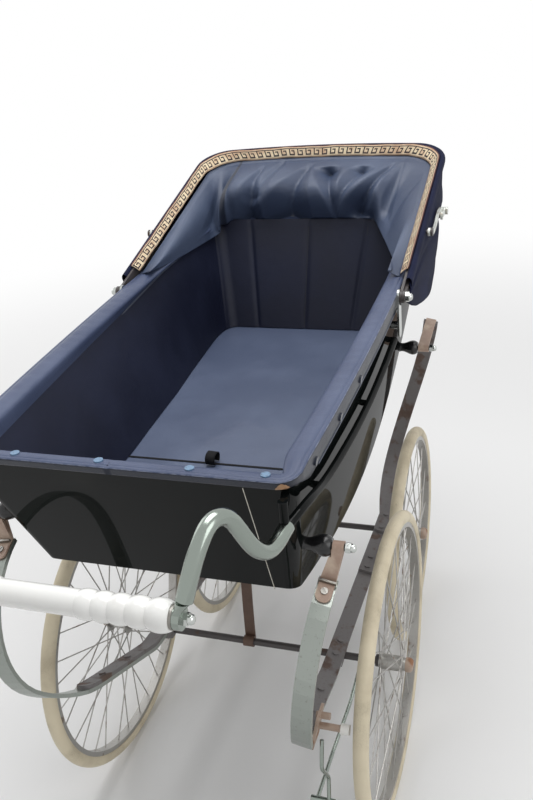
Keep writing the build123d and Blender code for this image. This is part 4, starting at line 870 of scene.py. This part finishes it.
roll_rows = [roll_row(turn) for turn in np.arange(ROLL_SIDES) * (2 * np.pi / ROLL_SIDES)]
roll_grid = np.stack(roll_rows + roll_rows[:1])
edge_roll = surface("hood_edge_roll", at(*np.moveaxis(roll_grid, -1, 0)), hood_cloth)
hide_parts("hood_edging")
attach(edge_roll, "hood")

# %% [markdown]
# The braid is sewn on the bow's inner face, with a thin dark red cord along its top edge. It
# leans from the upright by `lie`, wanders a little as sewn tape does, and is a real sheet with
# a thickness, because its edge shows against the lining.

# %% Braid and its cord
wander = 0.5 * np.sin(sweep * 61.0) + 0.4 * np.sin(sweep * 143.0 + 2.0)
lie = np.radians(50.0 - 13.0 * step(forward, 0.45, 0.7))
braid_width = 17.0 + 4.0 * step(forward, 0.40, 0.65)


def braid_row(across):
    """One line along the braid: it goes down and in by the lean, and bulges by a half sine wave."""
    inwards, downwards = braid_width * across * np.sin(lie), braid_width * across * np.cos(lie)
    return hoop(reach=485.6 - inwards, half=245.2 - inwards, corner=56.0, start=60.0,
                rise=13.6 - downwards + 1.4 * np.sin(np.pi * across) + wander)


braid_rows = [braid_row(across) for across in np.linspace(0, 1, 7)]
braid_grid = at(*np.moveaxis(np.stack(braid_rows), -1, 0))
braid = surface("hood_braid", braid_grid, key_braid, thickness=0.0010)
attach(braid, "hood")
cord_line = hoop(reach=486.2, half=245.8, corner=57.0, start=60.0, rise=14.0 + wander)
red_cord = tube("braid_cord", at(*cord_line.T), 0.0010, red_thread, sides=8)
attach(red_cord, "hood")

# %% [markdown]
# The hood's cloth hangs outside from the bow, over the middle bow, and is gathered under it.
# Its lower edge is measured on the photograph: lowest half way along each side, tucked in
# towards the front. One side is written down and the other is its mirror image. Where the
# middle bow would come through, the cloth has to lie outside it, so that bow's own reach from
# the hoop's middle is worked out first.

# %% Lines of the hood's cloth
# Rows: sweep, then x, y and z in mm.
LEFT_HEM = [(0, 212, 251, 806), (0.06, 232, 252, 790), (0.13, 285, 253, 770), (0.20, 360, 254, 752),
            (0.25, 430, 254, 742), (0.30, 505, 251, 766), (0.34, 566, 236, 790), (0.38, 606, 196, 800)]
RIGHT_HEM = [(1 - place, x, -y, z) for place, x, y, z in reversed(LEFT_HEM)]
HOOP_MIDDLE = np.array([430.0, 0.0])
MID_BOW_ANGLE = 9.0
hem = table_line(LEFT_HEM + [(0.5, 630, 0, 802)] + RIGHT_HEM)
cloth_top = hoop(reach=497.0, half=250.5, corner=60.0, start=34.0, rise=1.0)
mid_bow = hoop(reach=455.0, half=250.0, corner=58.0, start=0.0, rise=0.0, angle=MID_BOW_ANGLE)
mid_bow = mid_bow[::-1, :2] - HOOP_MIDDLE
mid_bow_way = np.arctan2(mid_bow[:, 1], mid_bow[:, 0])
mid_bow_far = np.linalg.norm(mid_bow, axis=1) + 4.5


def mid_bow_z(x):
    """Height of the middle bow's plane, which rises from the pivot by the bow's angle."""
    return PIVOT_Z + (x - PIVOT_X) * np.tan(np.radians(MID_BOW_ANGLE))


def mid_bow_reach(centred):
    """How far out the middle bow lies in the direction of each point from the hoop's middle."""
    return np.interp(np.arctan2(centred[:, 1], centred[:, 0]), mid_bow_way, mid_bow_far)


print("hem's lowest point", round(float(hem[:, 2].min()), 1), "mm up")

# %% [markdown]
# Folded cloth could be simulated, but it would have to start from the raised hood and fall
# past two bows. Here the rows between top and hem bulge outwards and carry two soft folds,
# where the slack lies on itself. Two last rows turn the hem in.

# %% Hood cloth
HOOD_WIDEST = 256.6
# Which way is outwards: ahead along the front, sideways along the arms, and both at the corners.
ahead_part = np.clip((cloth_top[:, 0] - 600.0) / 60.0, 0, 1)
side_part = hood_side * (np.abs(cloth_top[:, 1]) > 150) * np.clip((700.0 - cloth_top[:, 0]) / 60.0, 0, 1)
outward = np.stack([ahead_part, side_part, 0 * forward], -1)


def cloth_row(down):
    """One line along the cloth: from top to hem by a share, a sine bulge less two bell-shaped folds."""
    bulge = 3.4 * np.sin(np.pi * down) ** 0.7
    bulge = bulge - 3.2 * np.exp(-((down - 0.46 - 0.05 * np.sin(sweep * 19)) / 0.055) ** 2)
    bulge = bulge - 2.2 * np.exp(-((down - 0.78 + 0.1 * np.sin(sweep * 13 + 1)) / 0.05) ** 2)
    more_in_front = 1 + 3.0 * step(forward, 0.5, 0.72)
    line = cloth_top + (hem - cloth_top) * down + outward * (bulge * more_in_front)[:, None]
    line[:, 2] += 1.2 * np.sin(sweep * 47.0 + down * 6.0) * down
    line[:, 1] = np.clip(line[:, 1], -HOOD_WIDEST, HOOD_WIDEST)
    off_bow = np.abs(line[:, 2] - mid_bow_z(line[:, 0]))
    near_bow = np.exp(-(off_bow / 20.0) ** 4) * step(forward, 0.44, 0.50)
    centred = line[:, :2] - HOOP_MIDDLE
    grow = np.maximum(mid_bow_reach(centred) / np.linalg.norm(centred, axis=1), 1.0)
    line[:, :2] += centred * (grow - 1)[:, None] * near_bow[:, None]
    return line


turned_in = np.stack([hem[:, 0] - 6.0 * step(forward, 0.5, 0.7), hem[:, 1] * 0.962, hem[:, 2] + 3.0], -1)
cloth_rows = [cloth_row(down) for down in np.linspace(0, 1, 30)]
cloth_rows += [hem * (0.996, 0.994, 1.0) - (0, 0, 2.0), turned_in]
hood_grid = at(*np.moveaxis(np.stack(cloth_rows), -1, 0))
hood_outside = surface("hood_outside", hood_grid, hood_cloth, thickness=0.0012)
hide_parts("hood_cover")
BLEND_LOW, BLEND_HIGH = at(450.0, 0.0, 826.0), at(438.0, 0.0, 880.0)
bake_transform(hood_outside)

# %% [markdown]
# ## Hood lining
# The lining is one sheet of coated cloth: slack behind the bow, it billows over the rim into
# the body, with a lobe at each side. Its lower edge is a second table from the photograph.
# A cloth simulation could hang it, but it wouldn't fall into the photograph's own folds.

# %% The lining's edges
# Rows: sweep, then x, y and z in mm.
LINING_EDGE = ((0, 236, 210, 836), (0.08, 296, 208, 829), (0.16, 390, 206, 822), (0.24, 500, 203, 817),
               (0.30, 553, 200, 818), (0.337, 558, 193, 820), (0.345, 560, 190, 824),
               (0.352, 573, 176, 843), (0.37, 573, 150, 843), (0.44, 571, 70, 843), (0.5, 571, 0, 843),
               (0.56, 571, -50, 843), (0.61, 571, -100, 843), (0.635, 566, -122, 843),
               (0.65, 557, -130, 839), (0.70, 500, -150, 836), (0.76, 425, -177, 830),
               (0.84, 335, -208, 824), (0.93, 268, -217, 838), (1, 240, -219, 842))
lining_edge = table_line(LINING_EDGE, blur=2)
lining_top = hoop(reach=474.6, half=230.5, corner=52.0, start=60.0, rise=-4.0)
across, along = np.meshgrid(np.linspace(0, 1, 72), sweep, indexing="ij")
print("lining edge from", LINING_EDGE[0][1:], "to", LINING_EDGE[-1][1:])

# %% [markdown]
# Between the two edges the relief is a sum: flat sides, a deep billow in front, the left
# lobe's swell, and folds. The folds are sharp valleys along short lines in the sheet. A
# sculpting brush could draw them too, but a table can be read, and each fold moved by itself.
# Distances across the sheet count a quarter, since it is far longer than it is wide.

# %% Relief of the lining
# Rows: start and end of a fold, each as sweep and share of the way down, then depth in mm and width.
FOLDS = ((0.484, 0.22, 0.452, 1.05, 44.0, 0.040), (0.556, 0.98, 0.524, 0.30, 30.0, 0.026),
         (0.556, 0.98, 0.590, 0.30, 24.0, 0.022), (0.396, 0.20, 0.382, 1.05, 34.0, 0.022),
         (0.432, 0.05, 0.398, 0.75, 16.0, 0.020), (0.642, 0.20, 0.604, 0.92, 34.0, 0.022),
         (0.604, 0.92, 0.640, 0.98, 14.0, 0.014), (0.660, 0.10, 0.690, 0.80, 8.0, 0.022),
         (0.300, 0.10, 0.250, 0.80, 4.0, 0.040), (0.760, 0.15, 0.720, 0.85, 5.0, 0.030))
SHEET_NARROW = 0.25


def fold(along_start, down_start, along_end, down_end, depth, width):
    """A valley along a line in the sheet: a wedge that widens and deepens from start to end."""
    run = np.array([along_end - along_start, (down_end - down_start) * SHEET_NARROW])
    offset = np.stack([along - along_start, (across - down_start) * SHEET_NARROW], -1)
    reach = offset @ run / (run @ run)
    apart = np.abs(offset @ np.array([-run[1], run[0]]) / np.hypot(*run))
    spread = width * np.clip(0.25 + reach, 0.25, 1.1)
    window = np.clip((reach + 0.10) / 0.2, 0, 1) * np.clip((1.12 - reach) / 0.15, 0, 1)
    return depth * window * np.clip(1 - apart / spread, 0, 1) * np.clip(0.2 + 0.8 * reach, 0.2, 1)


billow = step(forward, 0.60, 0.74)
relief = 12.0 * np.sin(np.pi * across ** 0.8) * (1 - billow) + 50.0 * np.sin(np.pi * across ** 1.5) * billow
relief += 26.0 * across * step(along, 0.24, 0.34) * (1 - step(along, 0.3445, 0.3490))
relief -= sum(fold(*values) for values in FOLDS)
relief *= step(across, 0.0, 0.12)
print("relief from", round(float(relief.min()), 1), "to", round(float(relief.max()), 1), "mm")

# %% [markdown]
# The relief pushes the sheet inwards and a little up, off the straight lines from edge to
# edge.

# %% Hood lining
inward = np.stack([-step(forward, 0.5, 0.68), -hood_side * (1 - step(forward, 0.5, 0.72)),
                   0.35 + 0.25 * billow], -1)
lining_points = lining_top + (lining_edge - lining_top) * across[..., None] + inward * relief[..., None]
lining_grid = at(*np.moveaxis(lining_points, -1, 0))
hood_inside = surface("hood_inside", lining_grid, lining_cloth, thickness=0.0008)
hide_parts("hood_lining")
at(450.0, 0.0, 836.0)
at(438.0, 0.0, 890.0)
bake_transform(hood_inside)

# %% [markdown]
# ## Pull tab and floor binding
# The floor flap lifts by a loop of webbing that stands up from the joint, and the joint's edge
# is bound with the same webbing. A curve with a flat bevel would do for both. As grids, carried
# along three quarters of a turn and along a straight line, they are made as the other cloth is.

# %% Pull tab and floor binding
loop_turn = np.linspace(-0.25, 1.25, 26) * np.pi
loop_line = np.stack([-60.0 + 11.0 * np.cos(loop_turn) * (1 + 0.15 * np.sin(loop_turn)),
                      np.full(26, -4.0), 648.0 + 9.0 * np.sin(loop_turn)], -1)
loop_band = np.linspace(-7.5, 7.5, 5)[:, None, None] * np.array([0.10, 1.0, 0.0])
pull_loop = surface("pull_loop", at(*np.moveaxis(loop_line + loop_band, -1, 0)), webbing, thickness=0.0018)
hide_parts("pull_tab")
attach(pull_loop, "carriage")

# Rows: share of half the binding's width, and how far it stands above the joint in mm.
BINDING_SECTION = ((-1, 0.0), (-0.6, 0.5), (0, 0.5), (0.6, 0.5), (1, 0.0))
binding_y = np.linspace(-137.0, 137.0, 30)
binding_rows = [at(-61.5 + 2.4 * side, binding_y, 640.4 + proud) for side, proud in BINDING_SECTION]
binding = surface("floor_binding", np.stack(binding_rows), webbing)
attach(binding, "carriage")

# %% [markdown]
# ## Coach lines
# The coachwork carries thin painted lines. They could be part of the paint's colour; as narrow
# strips of mesh that lie on the rear panel they keep sharp edges when seen from near by.

# %% Coach lines
LINE_HALF = 0.55
# Rows: y at the top and at the foot, then z at the top and at the foot.
REAR_LINES = ((-160.5, -152.0, 777.0, 572.0), (-207.0, -184.0, 740.0, 574.0), (196.0, 184.0, 680.0, 574.0))
for k, (y_top, y_foot, z_top, z_foot) in enumerate(REAR_LINES):
    level = np.linspace(z_top, z_foot, 30)
    y = np.linspace(y_top, y_foot, 30)
    round_corner = np.maximum(np.abs(y) - (half_width(-330.0, level) - 22.0), 0) ** 2 / 30.0
    x = body_ends(level)[0] - 0.12 + round_corner
    line_grid = np.stack([at(x, y - LINE_HALF, level), at(x, y + LINE_HALF, level)])
    painted_line = surface(f"coach_line_{k}", line_grid, coach_line)
    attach(painted_line, "carriage")

# %% [markdown]
# ## Light, floor and backdrop
# A wide soft light from above and two weaker ones at the sides keep the shadows soft. A strong
# white world would do for the backdrop but wash out the colours. So floor and world are white
# only for rays that the camera sends, straight or by way of metal and glass, and they light
# the carriage at a plain level.

# %% Lamps
AIM = Vector((0, 0, 0.5))
for name, place, size, power in (("sky_light", (0.3, -0.1, 3.2), 2.2, 62.0),
                                 ("right_light", (-1.2, -2.6, 2.0), 1.8, 22.0),
                                 ("left_light", (0.8, 2.8, 2.0), 2.0, 14.0)):
    lamp = bpy.data.lights.new(name, "AREA")
    lamp.size, lamp.energy = size, power
    light = bpy.data.objects.new(name, lamp)
    light.location = place
    light.rotation_euler = (AIM - Vector(place)).to_track_quat("-Z", "Y").to_euler()
    bpy.context.scene.collection.objects.link(light)
    print(name, power, "W")

# %% [markdown]
# Light Path tells a shader what kind of ray it is lit or seen by. The largest of three of its
# answers is 1 for what the camera sees, straight or by way of metal and glass, and the same
# small function serves floor and world.

# %% Rays of the camera
def seen_rays(tree):
    """1 for rays that the camera sends, straight or by a mirror or glass, and 0 for the others."""
    rays = tree.nodes.new("ShaderNodeLightPath")
    seen = rays.outputs["Is Camera Ray"]
    for kind in ("Is Glossy Ray", "Is Transmission Ray"):
        either = tree.nodes.new("ShaderNodeMath")
        either.operation = "MAXIMUM"
        tree.links.new(seen, either.inputs[0])
        tree.links.new(rays.outputs[kind], either.inputs[1])
        seen = either.outputs[0]
    return seen


print("ray helper ready")

# %% [markdown]
# The floor is pale and matt, and fades to white away from the carriage, but only as seen: for
# the light's own rays it stays plain, so it keeps the carriage's shadow.

# %% Floor
FLOOR_HALF = 8
pale_floor = Finish("pale_floor", base_color=(0.80, 0.80, 0.80), roughness=0.9)
from_middle = pale_floor.node("VectorMath", {"operation": "LENGTH"}, {0: pale_floor.place()}, "Value")
fade = Socket(pale_floor, seen_rays(pale_floor.tree)) * from_middle.ramp(0.9, 3.6)
white = pale_floor.node("Emission", None, {"Color": (1.0, 1.0, 1.0), "Strength": 1.0})
shown = pale_floor.node("MixShader", None, {0: fade, 2: white})
pale_floor.tree.links.new(pale_floor.shader.outputs[0], shown.link.node.inputs[1])
pale_floor.tree.links.new(shown.link, pale_floor.tree.nodes["Material Output"].inputs["Surface"])
floor_mesh = bpy.data.meshes.new("floor")
floor_corners = [(FLOOR_HALF * x, FLOOR_HALF * y, 0) for x, y in ((-1, -1), (1, -1), (1, 1), (-1, 1))]
floor_mesh.from_pydata(floor_corners, [], [(0, 1, 2, 3)])
floor_mesh.materials.append(pale_floor.material)
floor = bpy.data.objects.new("floor", floor_mesh)
bpy.context.scene.collection.objects.link(floor)
print("floor", 2 * FLOOR_HALF, "m wide")

# %% [markdown]
# The world lights the carriage at about half strength and is shown at full white.

# %% Backdrop
WORLD_LIGHT, WORLD_SEEN = 0.48, 1.0
world = bpy.data.worlds.new("world")
bpy.context.scene.world = world
world.use_nodes = True
sky = world.node_tree
background = sky.nodes["Background"]
background.inputs["Color"].default_value = (1, 1, 1, 1)
strength = sky.nodes.new("ShaderNodeMapRange")
strength.inputs["To Min"].default_value = WORLD_LIGHT
strength.inputs["To Max"].default_value = WORLD_SEEN
sky.links.new(seen_rays(sky), strength.inputs["Value"])
sky.links.new(strength.outputs[0], background.inputs["Strength"])
bpy.context.scene.view_settings.view_transform = "Standard"
print("world lights at", WORLD_LIGHT, "and shows at", WORLD_SEEN)
